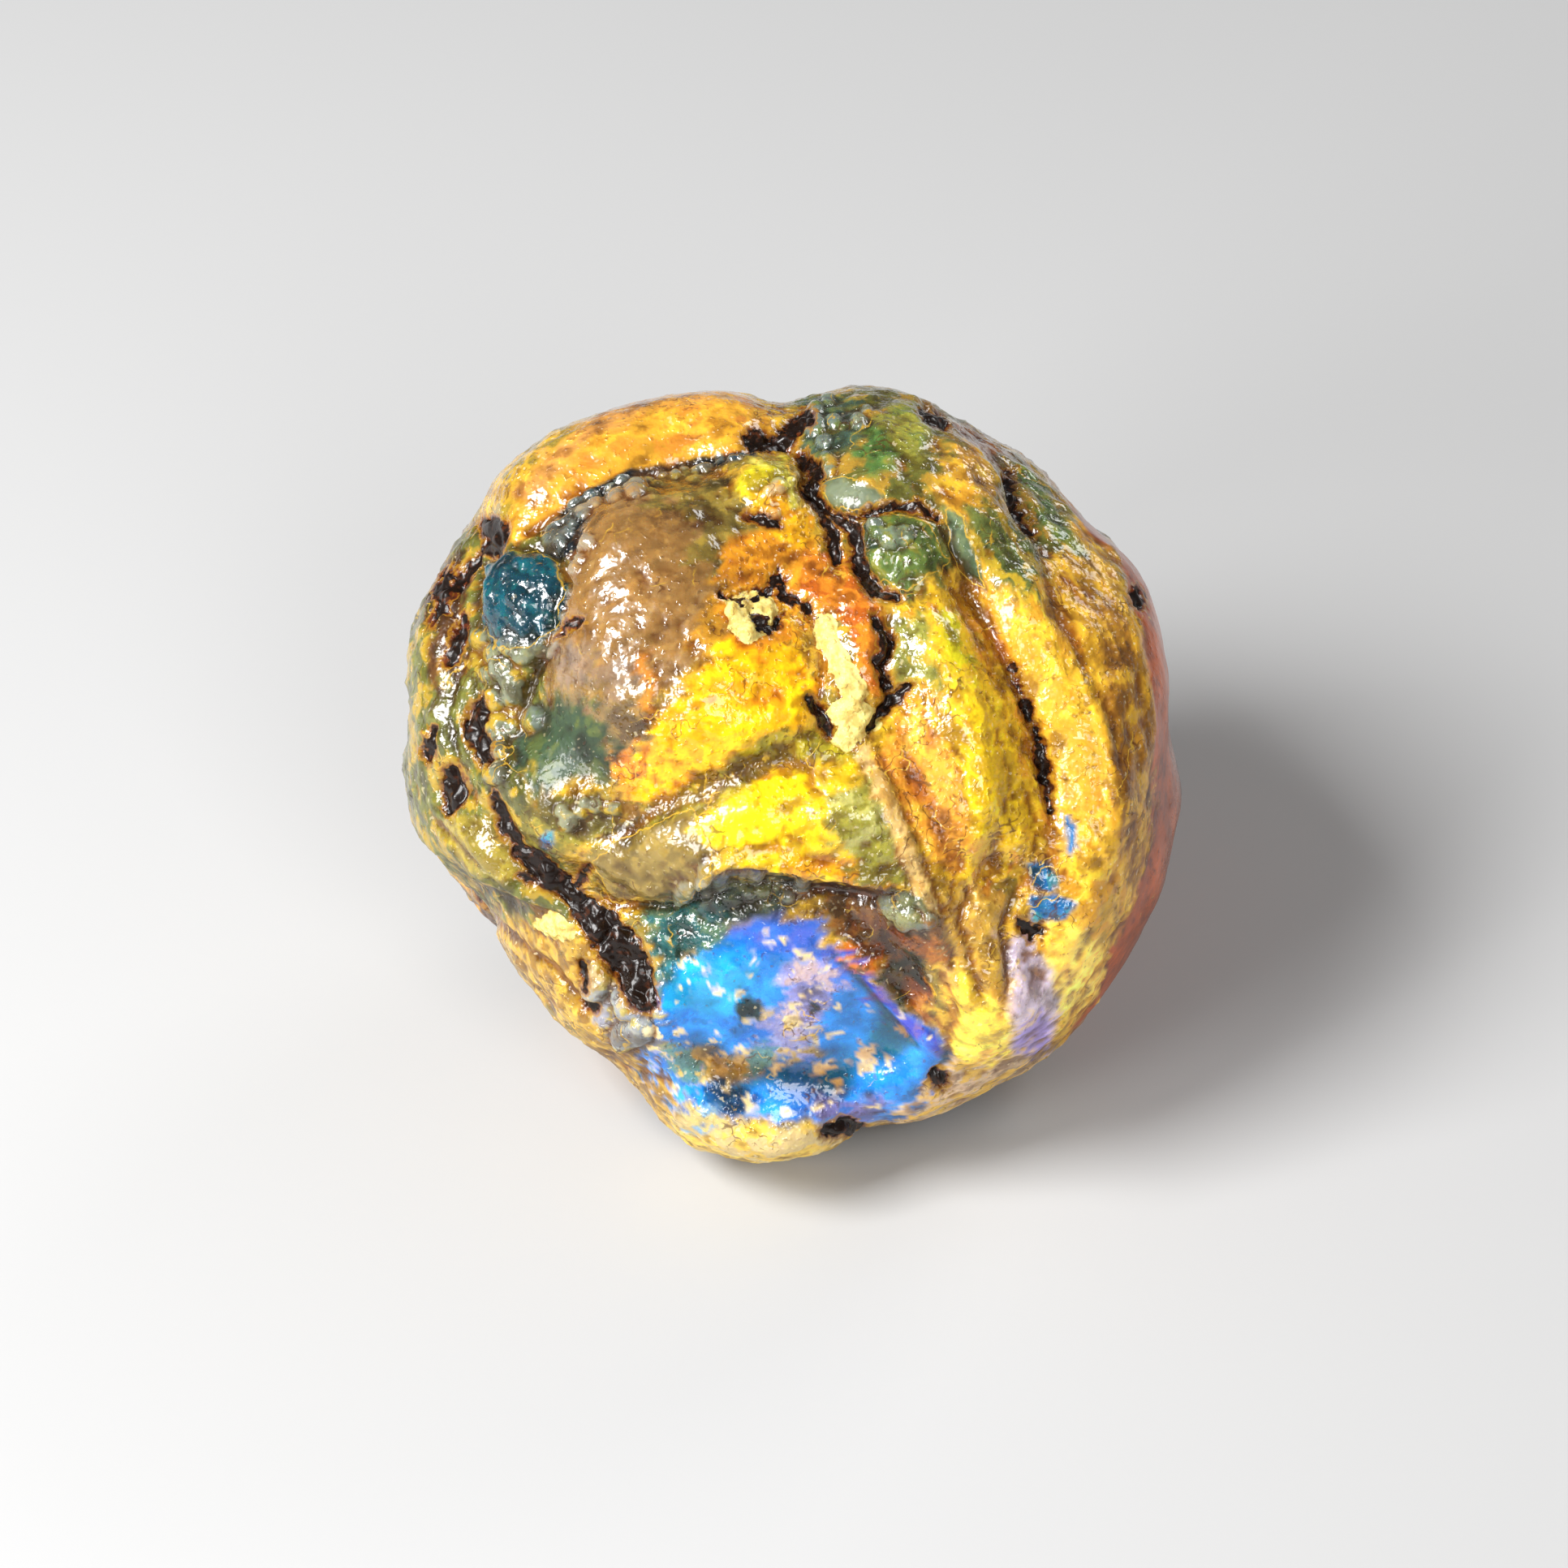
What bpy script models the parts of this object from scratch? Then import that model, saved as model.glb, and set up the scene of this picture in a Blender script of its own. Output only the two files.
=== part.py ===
"""Rough blue amber: one weathered nodule, lying on its flattest side.

The nodule is shaped in its face frame, in millimetres: x runs to the right, y up the shown face
and z out of it. The face is then leaned back, the lump is set down on its resting patch, and all
is scaled to metres, with the origin on the ground below the middle of the nodule.
"""
import math

import bmesh
import bpy
import numpy as np
from mathutils import Vector, noise

MM = 0.001
COLLECTION_NAME = "rough_blue_amber"
NODE_NAME = "amber_nodule"

# The lump: depths in front of and behind the outline's plane, how boxy it is (2 is round), and
# how far the plain lump stays inside the outline, which the swells and folds then reach
FRONT_DEPTH = 17.5
BACK_DEPTH = 19.0
SQUARENESS = 2.3
OUTLINE_INSET = 0.35
FACE_ELEVATION = math.radians(42.0)

# The resting patch: its depth below the centre, the height above it at which the flattening
# starts, and the height of what is flattened altogether
REST_DEPTH = 19.3
REST_SOFTENING = 3.0
REST_SNAP = 0.45

# The skin's mesh: cuts along each edge of the starting cube, and how far it crowds to the front
CUBE_CUTS = 27
FRONT_CROWDING = 0.16

# Outline of the shown face, clockwise from the right
OUTLINE = [
    (25.2, -3.6), (24.8, -6.8), (22.0, -11.8), (16.7, -18.2), (12.2, -19.8), (9.7, -21.7),
    (4.7, -22.6), (1.6, -24.1), (-2.7, -24.3), (-7.9, -21.6), (-11.1, -17.7), (-16.6, -11.8),
    (-20.1, -8.0), (-23.5, -4.0), (-24.8, 1.5), (-24.6, 3.9), (-24.0, 5.7), (-24.4, 8.3),
    (-21.7, 15.1), (-17.2, 19.3), (-13.9, 21.7), (-10.6, 23.1), (-4.6, 24.3), (-2.1, 24.0),
    (0.5, 24.6), (4.2, 24.9), (7.8, 24.8), (10.5, 23.4), (12.2, 22.0), (16.8, 18.6),
    (22.4, 14.1), (24.0, 10.2), (24.5, 7.0), (24.8, 3.1),
]

# Broken faces: outward direction, distance from the centre, share of the excess taken off
FRACTURES = {
    "right_flank": ((0.90, -0.12, -0.42), 21.0, 0.75),
    "back_upper": ((-0.15, 0.60, -0.79), 18.5, 0.70),
    "back_left": ((-0.72, 0.10, -0.69), 19.0, 0.60),
    "front_lower": ((0.05, -0.62, 0.78), 19.6, 0.55),
}

# Lumps on the shown face: x, y, half width, half height, turn in degrees, rise
LUMPS = {
    "brown_dome": (-8.6, 9.2, 6.4, 9.0, 12.0, 2.5),
    "teal_bump": (-16.7, 11.0, 2.9, 3.3, 0.0, 1.7),
    "yellow_flank": (-1.5, 5.0, 4.6, 6.0, -10.0, 1.3),
    "lime_knob": (-0.9, 18.2, 2.2, 2.0, 0.0, 0.8),
    "green_shoulder": (8.6, 19.4, 6.5, 3.6, -30.0, 1.1),
    "green_cushion": (6.8, 14.2, 2.7, 2.4, 0.0, 1.0),
    "grey_plate": (4.2, 17.2, 2.4, 1.4, 20.0, 0.6),
    "right_plate": (10.6, 14.6, 1.5, 2.6, 20.0, 0.6),
    "orange_island": (5.0, 8.6, 1.5, 4.2, 8.0, 1.1),
    "cream_crust": (3.6, 4.6, 1.2, 3.2, 12.0, 0.5),
    "lip_lobe": (-2.6, -3.0, 8.6, 2.6, 6.0, 1.5),
    "lemon_knob": (4.6, -3.0, 3.2, 2.6, -20.0, 0.9),
    "left_belly": (-21.4, 2.6, 2.6, 4.4, 0.0, 1.0),
    "left_knee": (-16.2, -2.2, 3.0, 4.0, 25.0, 1.0),
    "beaded_pearl": (7.1, -8.5, 1.9, 1.7, 0.0, 1.2),
    "yellow_patch": (12.2, -14.0, 2.8, 3.8, 15.0, 1.1),
    "lilac_knob": (16.4, -13.6, 2.6, 3.2, 25.0, 0.8),
    "toe": (-2.6, -22.0, 6.0, 2.4, 0.0, 0.9),
    "outer_bulge": (20.2, 3.0, 3.2, 9.0, -5.0, 1.2),
}

# Raised rolls on the shown face: path, half width, rise
ROLLS = {
    "orange_arch": (
        [(-18.6, 15.4), (-16.4, 17.8), (-13.2, 20.2), (-9.2, 21.8), (-4.8, 22.6), (-1.0, 22.2)], 2.3, 1.7,
    ),
    "inner_rib": ([(7.8, 9.6), (10.4, 5.4), (11.6, 0.6), (11.4, -4.4)], 2.2, 1.3),
    "outer_rib": ([(13.4, 14.0), (16.4, 8.4), (18.6, 1.8), (18.8, -5.8), (17.4, -11.4)], 2.3, 1.6),
    "root_strap": ([(4.7, 1.6), (6.8, -2.6), (8.6, -6.8), (9.6, -10.4)], 0.9, 0.9),
    "root_mass": ([(12.0, -6.8), (12.9, -10.4), (13.8, -16.4)], 1.3, 0.9),
    "upper_sausage": ([(-22.8, -2.4), (-20.0, -5.0), (-15.6, -7.8)], 1.4, 1.2),
    "lower_sausage": ([(-18.6, -9.2), (-15.0, -12.6), (-11.0, -17.0)], 1.5, 1.0),
    "violet_bar": ([(3.6, -11.0), (5.6, -12.9), (7.6, -15.0), (9.6, -17.2)], 0.9, 0.7),
    "left_comb": ([(-21.8, 11.6), (-22.6, 7.6), (-22.4, 4.4)], 1.0, 0.8),
}

# Clefts on the shown face: path, half width, depth
CLEFTS = {
    "beaded_cleft": ([(-15.2, 14.2), (-13.4, 16.6), (-10.6, 18.6), (-7.4, 19.8), (-3.6, 20.2)], 1.2, 1.4),
    "dome_crease": ([(-12.8, 16.0), (-14.0, 12.5), (-14.7, 8.9), (-16.2, 5.4), (-16.6, 1.6)], 1.2, 1.3),
    "teal_rim": ([(-18.3, 15.4), (-20.0, 12.6), (-20.1, 9.4), (-18.0, 7.6)], 1.1, 1.3),
    "left_cleft": ([(-20.2, 9.4), (-20.4, 5.8), (-19.4, 3.0), (-20.6, -0.4), (-21.2, -2.0)], 1.1, 1.3),
    "bark_groove": (
        [(-18.2, -1.0), (-17.4, -3.4), (-15.9, -5.4), (-13.6, -7.0), (-11.4, -9.2), (-8.9, -14.4)], 1.5, 2.0,
    ),
    "top_seam": ([(-2.1, 21.4), (0.8, 20.6), (1.5, 17.7), (3.2, 15.2), (4.4, 12.9), (6.2, 11.2)], 1.2, 1.4),
    "island_seam": ([(6.2, 11.2), (6.3, 8.4), (6.8, 6.0), (5.6, 3.2)], 1.1, 1.0),
    "cream_seam": ([(1.6, 9.4), (1.8, 5.7), (2.4, 2.9), (4.2, 1.6)], 1.1, 0.9),
    "rib_crevice": ([(10.2, 13.0), (12.2, 10.4), (13.8, 7.4), (15.5, 3.0), (16.4, -3.2)], 1.5, 1.8),
    "outer_crevice": ([(15.6, 12.8), (18.0, 7.8), (20.4, 1.0)], 1.3, 0.8),
    "slope_valley": ([(-11.6, -3.2), (-7.6, -1.8), (-3.0, 0.2), (1.4, 1.6)], 1.1, 1.1),
    "sausage_line": ([(-22.4, -3.6), (-19.4, -7.0), (-16.4, -8.9), (-14.2, -9.2)], 1.1, 1.1),
    "shoulder_groove": ([(12.6, 20.4), (14.8, 17.6), (14.6, 14.6)], 1.2, 0.8),
}

# The ledge: the lip's line from left to right, the drop of the broken face set back below it,
# how sharply it drops, how far the lip hangs over it, and the sides of that broken face
LIP = [
    (-12.6, -5.6), (-8.9, -7.0), (-5.7, -6.6), (-3.4, -5.5),
    (-0.4, -5.5), (2.2, -6.1), (5.2, -6.4), (7.9, -7.2),
]
LIP_DROP = 2.6
LIP_EDGE = 1.1
LIP_HANG = 0.9
BROKEN_FACE = LIP + [
    (9.8, -11.0), (10.6, -15.4), (9.0, -19.2), (3.6, -22.4), (-4.4, -22.6), (-8.8, -19.4), (-8.9, -14.6),
    (-11.4, -10.0),
]
BROKEN_FACE_BLEND = 3.4

# Lumps and hollows all round the sides, the back and the underside: direction, radius, rise
WRAPPED_LUMPS = {
    "back_boss": ((0.25, 0.35, -0.90), 9.0, 2.0),
    "back_ridge_end": ((-0.55, 0.55, -0.63), 6.0, 1.4),
    "back_hollow": ((0.05, -0.05, -1.0), 5.0, -2.2),
    "back_pit": ((-0.40, 0.20, -0.89), 2.4, -1.5),
    "side_pit": ((0.80, 0.45, -0.40), 2.6, -1.4),
    "right_boss": ((0.82, -0.35, -0.45), 5.0, 1.3),
    "left_boss": ((-0.85, -0.30, -0.43), 5.5, 1.4),
    "left_pit": ((-0.78, -0.50, -0.10), 2.4, -1.2),
    "crown_boss": ((0.30, 0.90, -0.32), 5.0, 1.4),
    "crown_dimple": ((-0.25, 0.90, -0.36), 3.4, -1.3),
}

# Folds that run round the sides and the back: directions along the fold, half width, rise
WRAPPED_FOLDS = {
    "crown_fold": (
        [(0.62, 0.75, 0.22), (0.52, 0.80, -0.30), (0.20, 0.72, -0.66), (-0.20, 0.45, -0.87)], 1.8, 1.5,
    ),
    "right_fold": ([(0.96, -0.10, 0.25), (0.90, 0.10, -0.42), (0.62, 0.15, -0.77)], 1.6, 1.2),
    "left_fold": ([(-0.90, 0.42, 0.10), (-0.86, 0.20, -0.47), (-0.60, -0.15, -0.79)], 1.7, 1.3),
    "back_cleft": (
        [(0.75, 0.35, -0.56), (0.35, 0.10, -0.93), (-0.10, 0.25, -0.96), (-0.45, 0.00, -0.89)], 1.1, -1.5,
    ),
    "left_back_cleft": ([(-0.95, 0.05, 0.15), (-0.88, 0.45, -0.20), (-0.55, 0.78, -0.30)], 1.0, -1.2),
    "crown_cleft": ([(0.02, 0.98, 0.15), (0.08, 0.92, -0.38), (0.05, 0.70, -0.71)], 1.1, -1.3),
}

# General unevenness: wavelength and height of each layer
UNEVENNESS = [(9.0, 0.70), (4.2, 0.42), (2.4, 0.20)]

# Light smoothing that rounds the edges of the clefts: passes, and how far each one goes
SMOOTHING_PASSES = 2
SMOOTHING_SHARE = 0.5

AMBER_COLOR = (0.62, 0.36, 0.05, 1.0)
AMBER_ROUGHNESS = 0.25
AMBER_IOR = 1.54
AMBER_TRANSMISSION = 0.35


def clear_scene():
    """Remove every object of the open file."""
    for item in list(bpy.data.objects):
        bpy.data.objects.remove(item, do_unlink=True)


def smooth(value):
    """Smooth step from 0 to 1."""
    t = np.clip(value, 0.0, 1.0)
    return t * t * (3.0 - 2.0 * t)


def outline_radius(angle):
    """Radius of the shown outline at each angle, on a smooth closed curve through its points."""
    points = np.array(OUTLINE)
    angles = np.arctan2(points[:, 1], points[:, 0])
    order = np.argsort(angles)
    angles = angles[order]
    radii = np.hypot(points[:, 0], points[:, 1])[order] - OUTLINE_INSET
    turns = np.concatenate([angles - 2 * math.pi, angles, angles + 2 * math.pi])
    return np.interp(angle, turns, np.tile(radii, 3))


def path_distance(points, path):
    """Distance of each point to a path, and the share of the path passed at the nearest spot."""
    path = np.array(path, dtype=float)
    best = np.full(len(points), np.inf)
    along = np.zeros(len(points))
    for i in range(len(path) - 1):
        step = path[i + 1] - path[i]
        share = np.clip((points - path[i]) @ step / (step @ step), 0.0, 1.0)
        gap = np.linalg.norm(points - path[i] - share[:, None] * step, axis=1)
        nearer = gap < best
        best = np.where(nearer, gap, best)
        along = np.where(nearer, (i + share) / (len(path) - 1), along)
    return best, along


def inside_depth(points, polygon):
    """Distance to the polygon's edge, positive inside it and negative outside."""
    corners = np.array(polygon, dtype=float)
    inside = np.zeros(len(points), dtype=bool)
    for (x0, y0), (x1, y1) in zip(corners, np.roll(corners, -1, axis=0)):
        crosses = (y0 > points[:, 1]) != (y1 > points[:, 1])
        rise = y1 - y0 if y1 != y0 else 1e-9
        inside ^= crosses & (points[:, 0] < (x1 - x0) * (points[:, 1] - y0) / rise + x0)
    distance, _ = path_distance(points, list(polygon) + [polygon[0]])
    return np.where(inside, distance, -distance)


def ball_directions():
    """A cube, cut finely and rounded to a ball, with its points crowded towards the shown face."""
    bpy.ops.mesh.primitive_cube_add(size=2.0)
    nodule = bpy.context.active_object
    nodule.name = NODE_NAME
    nodule.data.name = NODE_NAME
    mesh = bmesh.new()
    mesh.from_mesh(nodule.data)
    bmesh.ops.subdivide_edges(mesh, edges=mesh.edges[:], cuts=CUBE_CUTS, use_grid_fill=True)
    mesh.to_mesh(nodule.data)
    mesh.free()
    cube = np.array([vertex.co[:] for vertex in nodule.data.vertices])
    squares = cube ** 2
    ball = np.empty_like(cube)
    for a, b, c in ((0, 1, 2), (1, 2, 0), (2, 0, 1)):
        shrink = 1.0 - squares[:, b] / 2 - squares[:, c] / 2 + squares[:, b] * squares[:, c] / 3
        ball[:, a] = cube[:, a] * np.sqrt(shrink)
    ball[:, 2] += FRONT_CROWDING * (1.0 - ball[:, 2] ** 2)
    return nodule, ball / np.linalg.norm(ball, axis=1)[:, None]


def lump_surface(directions):
    """Points of the plain lump: the outline's width, the two depths, and its broken faces."""
    across = np.hypot(directions[:, 0], directions[:, 1])
    radius = outline_radius(np.arctan2(directions[:, 1], directions[:, 0]))
    depth = np.where(directions[:, 2] > 0, FRONT_DEPTH, BACK_DEPTH)
    stretch = (across / radius) ** SQUARENESS + (np.abs(directions[:, 2]) / depth) ** SQUARENESS
    points = directions * (stretch ** (-1.0 / SQUARENESS))[:, None]
    for direction, distance, share in FRACTURES.values():
        outward = np.array(direction) / np.linalg.norm(direction)
        excess = np.maximum(points @ outward - distance, 0.0)
        points = points - outward * (share * excess)[:, None]
    return points


def mesh_normals(nodule, points):
    """Outward normals of the nodule's mesh with its vertices at these points."""
    nodule.data.vertices.foreach_set("co", points.astype(np.float32).ravel())
    nodule.data.update()
    return np.array([normal.vector[:] for normal in nodule.data.vertex_normals])


def face_relief(points):
    """Rise of the named lumps, rolls and clefts of the shown face at each point."""
    flat = points[:, :2]
    rise = np.zeros(len(points))
    for x, y, half_width, half_height, turn, height in LUMPS.values():
        angle = math.radians(turn)
        right = (flat[:, 0] - x) * math.cos(angle) + (flat[:, 1] - y) * math.sin(angle)
        up = (flat[:, 1] - y) * math.cos(angle) - (flat[:, 0] - x) * math.sin(angle)
        reach = np.sqrt((right / half_width) ** 2 + (up / half_height) ** 2)
        rise += height * smooth(1.35 - reach)
    for path, half_width, height in ROLLS.values():
        distance, along = path_distance(flat, path)
        ends = smooth(np.minimum(along, 1.0 - along) * 6.0 + 0.3)
        rise += height * ends * np.exp(-(distance / half_width) ** 2)
    for path, half_width, depth in CLEFTS.values():
        distance, along = path_distance(flat, path)
        ends = smooth(np.minimum(along, 1.0 - along) * 6.0 + 0.3)
        rise -= depth * ends * np.exp(-(distance / half_width) ** 2)
    return rise * smooth((points[:, 2] + 3.0) / 5.0)


def wrapped_relief(points):
    """Rise of the lumps, pits and folds round the sides and the back at each point."""
    rise = np.zeros(len(points))
    for direction, radius, height in WRAPPED_LUMPS.values():
        anchor = lump_surface(np.array([Vector(direction).normalized()]))[0]
        distance = np.linalg.norm(points - anchor, axis=1)
        rise += height * np.exp(-(distance / radius) ** 2)
    for directions, half_width, height in WRAPPED_FOLDS.values():
        path = lump_surface(np.array([Vector(direction).normalized() for direction in directions]))
        distance, along = path_distance(points, path)
        ends = smooth(np.minimum(along, 1.0 - along) * 5.0 + 0.2)
        rise += height * ends * np.exp(-(distance / (1.4 * half_width)) ** 2)
    return rise


def unevenness(points):
    """Rise of the irregular swells between the named forms."""
    rise = np.zeros(len(points))
    for layer, (wavelength, height) in enumerate(UNEVENNESS):
        shift = Vector((13.7 * layer, 5.1, 2.9))
        swell = np.array([noise.noise(Vector(point) / wavelength + shift) for point in points])
        rise += height * swell
    return rise


def ledge_shift(points):
    """Move of each point that sets the broken face back under its overhanging lip."""
    flat = points[:, :2]
    front = smooth((points[:, 2] + 1.0) / 4.0)
    depth = inside_depth(flat, BROKEN_FACE)
    lip_gap, lip_along = path_distance(flat, LIP)
    edge = np.where(lip_gap < BROKEN_FACE_BLEND, lip_gap / LIP_EDGE, 1.0)
    side_gap, _ = path_distance(flat, BROKEN_FACE[len(LIP) - 1:] + [BROKEN_FACE[0]])
    set_back = np.where(depth > 0, smooth(edge) * smooth(side_gap / BROKEN_FACE_BLEND), 0.0)
    lip_ends = smooth(np.minimum(lip_along, 1.0 - lip_along) * 6.0)
    hang = np.where(depth <= 0, lip_ends * np.exp(-(lip_gap / LIP_EDGE) ** 2), 0.0)
    move = np.zeros_like(points)
    move[:, 2] = front * (0.5 * LIP_HANG * hang - LIP_DROP * set_back)
    move[:, 1] = front * (0.35 * LIP_DROP * set_back - LIP_HANG * hang)
    return move


def lean_back(points):
    """Turn face coordinates to upright ones: x right, y away from the viewer, z up."""
    sine, cosine = math.sin(FACE_ELEVATION), math.cos(FACE_ELEVATION)
    away = points[:, 1] * sine - points[:, 2] * cosine
    up = points[:, 1] * cosine + points[:, 2] * sine
    return np.column_stack([points[:, 0], away, up])


def settle(points):
    """Flatten the underside towards the resting plane and centre the lump over its origin."""
    above = points[:, 2] + REST_DEPTH
    eased = REST_SOFTENING * np.exp(np.minimum(above, REST_SOFTENING) / REST_SOFTENING - 1.0)
    above = np.where(above < REST_SOFTENING, eased, above)
    lowest = above.min()
    above = np.where(above < lowest + REST_SNAP, lowest, above)
    middle = (points.min(axis=0) + points.max(axis=0)) / 2
    return np.column_stack([points[:, 0] - middle[0], points[:, 1] - middle[1], above - lowest])


def amber_material():
    """Wet-looking golden amber."""
    material = bpy.data.materials.new("rough_amber")
    material.use_nodes = True
    shader = material.node_tree.nodes["Principled BSDF"]
    shader.inputs["Base Color"].default_value = AMBER_COLOR
    shader.inputs["Roughness"].default_value = AMBER_ROUGHNESS
    shader.inputs["IOR"].default_value = AMBER_IOR
    shader.inputs["Transmission Weight"].default_value = AMBER_TRANSMISSION
    return material


def smooth_skin(nodule, points):
    """The points after the smoothing passes over the nodule's mesh."""
    nodule.data.vertices.foreach_set("co", points.astype(np.float32).ravel())
    mesh = bmesh.new()
    mesh.from_mesh(nodule.data)
    for _ in range(SMOOTHING_PASSES):
        bmesh.ops.smooth_vert(
            mesh, verts=mesh.verts[:], factor=SMOOTHING_SHARE,
            use_axis_x=True, use_axis_y=True, use_axis_z=True,
        )
    smoothed = np.array([vertex.co[:] for vertex in mesh.verts])
    mesh.free()
    return smoothed


def build_nodule():
    """The whole nodule as one closed solid."""
    nodule, directions = ball_directions()
    points = lump_surface(directions)
    normals = mesh_normals(nodule, points)
    rise = face_relief(points) + wrapped_relief(points) + unevenness(points)
    points = points + normals * rise[:, None] + ledge_shift(points)
    points = settle(lean_back(smooth_skin(nodule, points))) * MM
    nodule.data.vertices.foreach_set("co", points.astype(np.float32).ravel())
    nodule.data.update()
    nodule.data.shade_smooth()
    nodule.data.materials.append(amber_material())
    return nodule


def main():
    clear_scene()
    collection = bpy.data.collections.new(COLLECTION_NAME)
    bpy.context.scene.collection.children.link(collection)
    nodule = build_nodule()
    for holder in list(nodule.users_collection):
        holder.objects.unlink(nodule)
    collection.objects.link(nodule)


main()
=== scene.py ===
"""The looks of the rough blue amber: its pebbled wet skin, its colours, and a plain stage."""
import math

import bmesh
import bpy
import numpy as np
from mathutils import Matrix, Vector, noise


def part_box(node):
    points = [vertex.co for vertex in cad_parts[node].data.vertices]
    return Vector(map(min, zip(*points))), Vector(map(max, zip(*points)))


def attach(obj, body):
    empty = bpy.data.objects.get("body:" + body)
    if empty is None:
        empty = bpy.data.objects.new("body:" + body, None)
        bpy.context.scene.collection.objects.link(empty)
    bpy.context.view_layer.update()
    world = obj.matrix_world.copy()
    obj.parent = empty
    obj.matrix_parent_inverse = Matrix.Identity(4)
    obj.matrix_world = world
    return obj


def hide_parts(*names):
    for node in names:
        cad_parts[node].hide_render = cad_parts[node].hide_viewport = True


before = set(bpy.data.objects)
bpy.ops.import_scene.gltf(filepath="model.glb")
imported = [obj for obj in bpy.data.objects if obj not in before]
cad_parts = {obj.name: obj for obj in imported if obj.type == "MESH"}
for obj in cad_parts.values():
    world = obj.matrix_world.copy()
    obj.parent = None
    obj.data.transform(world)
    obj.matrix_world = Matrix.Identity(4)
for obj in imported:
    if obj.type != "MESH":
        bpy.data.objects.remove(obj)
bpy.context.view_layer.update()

MM = 0.001

# The face frame: x right, y up the shown face, z out of it, in millimetres from the middle of the
# outline. FACE_FROM_CORNER is that middle, from the low corner of the nodule's box.
FACE_ELEVATION = math.radians(42.0)
FACE_FROM_CORNER = (24.547, 21.401, 18.939)
FACE_RIGHT = np.array([1.0, 0.0, 0.0])
FACE_UP = np.array([0.0, math.sin(FACE_ELEVATION), math.cos(FACE_ELEVATION)])
FACE_OUT = np.array([0.0, -math.cos(FACE_ELEVATION), math.sin(FACE_ELEVATION)])
FACE_CENTRE = np.array(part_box("amber_nodule")[0]) / MM + np.array(FACE_FROM_CORNER)

# The photograph's frame: its size in pixels, the pixel at the middle of the face, and the scale
IMAGE_SIZE = 1932
FACE_PIXEL = (970.0, 960.0)
PIXELS_PER_MM = 19.2

# The camera
LENS_MM = 135.0
SENSOR_MM = 36.0
CLIP_START = 0.01

# The stage: a pale floor and soft square lights, each with its direction from the nodule, its
# distance and size in metres, and its power in watts
FLOOR_SIZE = 4.0
FLOOR_COLOR = (0.50, 0.50, 0.50, 1.0)
FLOOR_ROUGHNESS = 0.85
WHITE = (1.0, 1.0, 1.0, 1.0)
WORLD_STRENGTH = 0.13
LIGHTS = {
    "key": ((-0.62, -0.28, 0.80), 0.45, 0.20, 3.1),
    "second": ((-0.65, -0.67, 0.42), 0.45, 0.13, 0.9),
    "front": ((0.35, -0.90, 0.75), 0.60, 0.22, 1.1),
    "rim": ((0.70, 0.75, 0.60), 0.60, 0.20, 0.7),
}

# The mesh: how often the CAD's faces are divided, and how many of the faces nearest to the small
# details are divided once more
SUBDIVISIONS = 2
DETAIL_FACES = 7600
WELD_DISTANCE = 1e-7

# Distances, in millimetres, that stand for nothing near
FAR = 99.0
NONE_NEAR = 9.0

# Settings that every noise shares: how fast the octaves fade and how much finer each one is
FADE = 0.9
FINER = 2.1
STREAK_OCTAVES = 3


def smooth(value):
    """Smooth step from 0 to 1."""
    t = np.clip(value, 0.0, 1.0)
    return t * t * (3.0 - 2.0 * t)


def face_points(pixels):
    """Places on the face, in millimetres, of pixels of the photograph."""
    pixels = np.array(pixels, dtype=float)
    return np.column_stack([
        (pixels[:, 0] - FACE_PIXEL[0]) / PIXELS_PER_MM,
        (FACE_PIXEL[1] - pixels[:, 1]) / PIXELS_PER_MM,
    ])


def path_distance(points, path):
    """Distance of each point to a path, and the share of the path passed at the nearest spot."""
    best = np.full(len(points), np.inf)
    along = np.zeros(len(points))
    for i in range(len(path) - 1):
        step = path[i + 1] - path[i]
        share = np.clip((points - path[i]) @ step / max(step @ step, 1e-9), 0.0, 1.0)
        gap = np.linalg.norm(points - path[i] - share[:, None] * step, axis=1)
        nearer = gap < best
        best = np.where(nearer, gap, best)
        along = np.where(nearer, (i + share) / (len(path) - 1), along)
    return best, along


def inside_depth(points, corners):
    """Distance to a polygon's edge, positive inside it and negative outside."""
    inside = np.zeros(len(points), dtype=bool)
    for (x0, y0), (x1, y1) in zip(corners, np.roll(corners, -1, axis=0)):
        crosses = (y0 > points[:, 1]) != (y1 > points[:, 1])
        rise = y1 - y0 if y1 != y0 else 1e-9
        inside ^= crosses & (points[:, 0] < (x1 - x0) * (points[:, 1] - y0) / rise + x0)
    distance, _ = path_distance(points, np.vstack([corners, corners[:1]]))
    return np.where(inside, distance, -distance)


def noise_places(points, wavelength, seed):
    """Where to read the noise for each point. Each seed reads it somewhere else."""
    offset = Vector((seed, 1.7 * seed, -seed))
    return [Vector(point) / wavelength + offset for point in points]


def wobble(points, wavelength, seed):
    """Smooth noise from -1 to 1 at each point."""
    return np.array([noise.noise(place) for place in noise_places(points, wavelength, seed)])


def fractal(points, wavelength, octaves, seed):
    """Noise of several octaves, about -1 to 1, from this wavelength down."""
    places = noise_places(points, wavelength, seed)
    return np.array([noise.fractal(place, FADE, FINER, octaves) for place in places])


def side_by_side(kind, points, *settings, seeds):
    """One noise with two seeds, as two columns."""
    return np.column_stack([kind(points, *settings, seed) for seed in seeds])


def streaks(points, angle, wavelength, stretch, seed):
    """Noise drawn out along a direction of the face, given by its angle in degrees."""
    c, s = math.cos(math.radians(angle)), math.sin(math.radians(angle))
    along = points[:, 0] * c + points[:, 1] * s
    across = points[:, 1] * c - points[:, 0] * s
    drawn = np.column_stack([along / stretch, across, points[:, 2]])
    return fractal(drawn, wavelength, STREAK_OCTAVES, seed)


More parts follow.
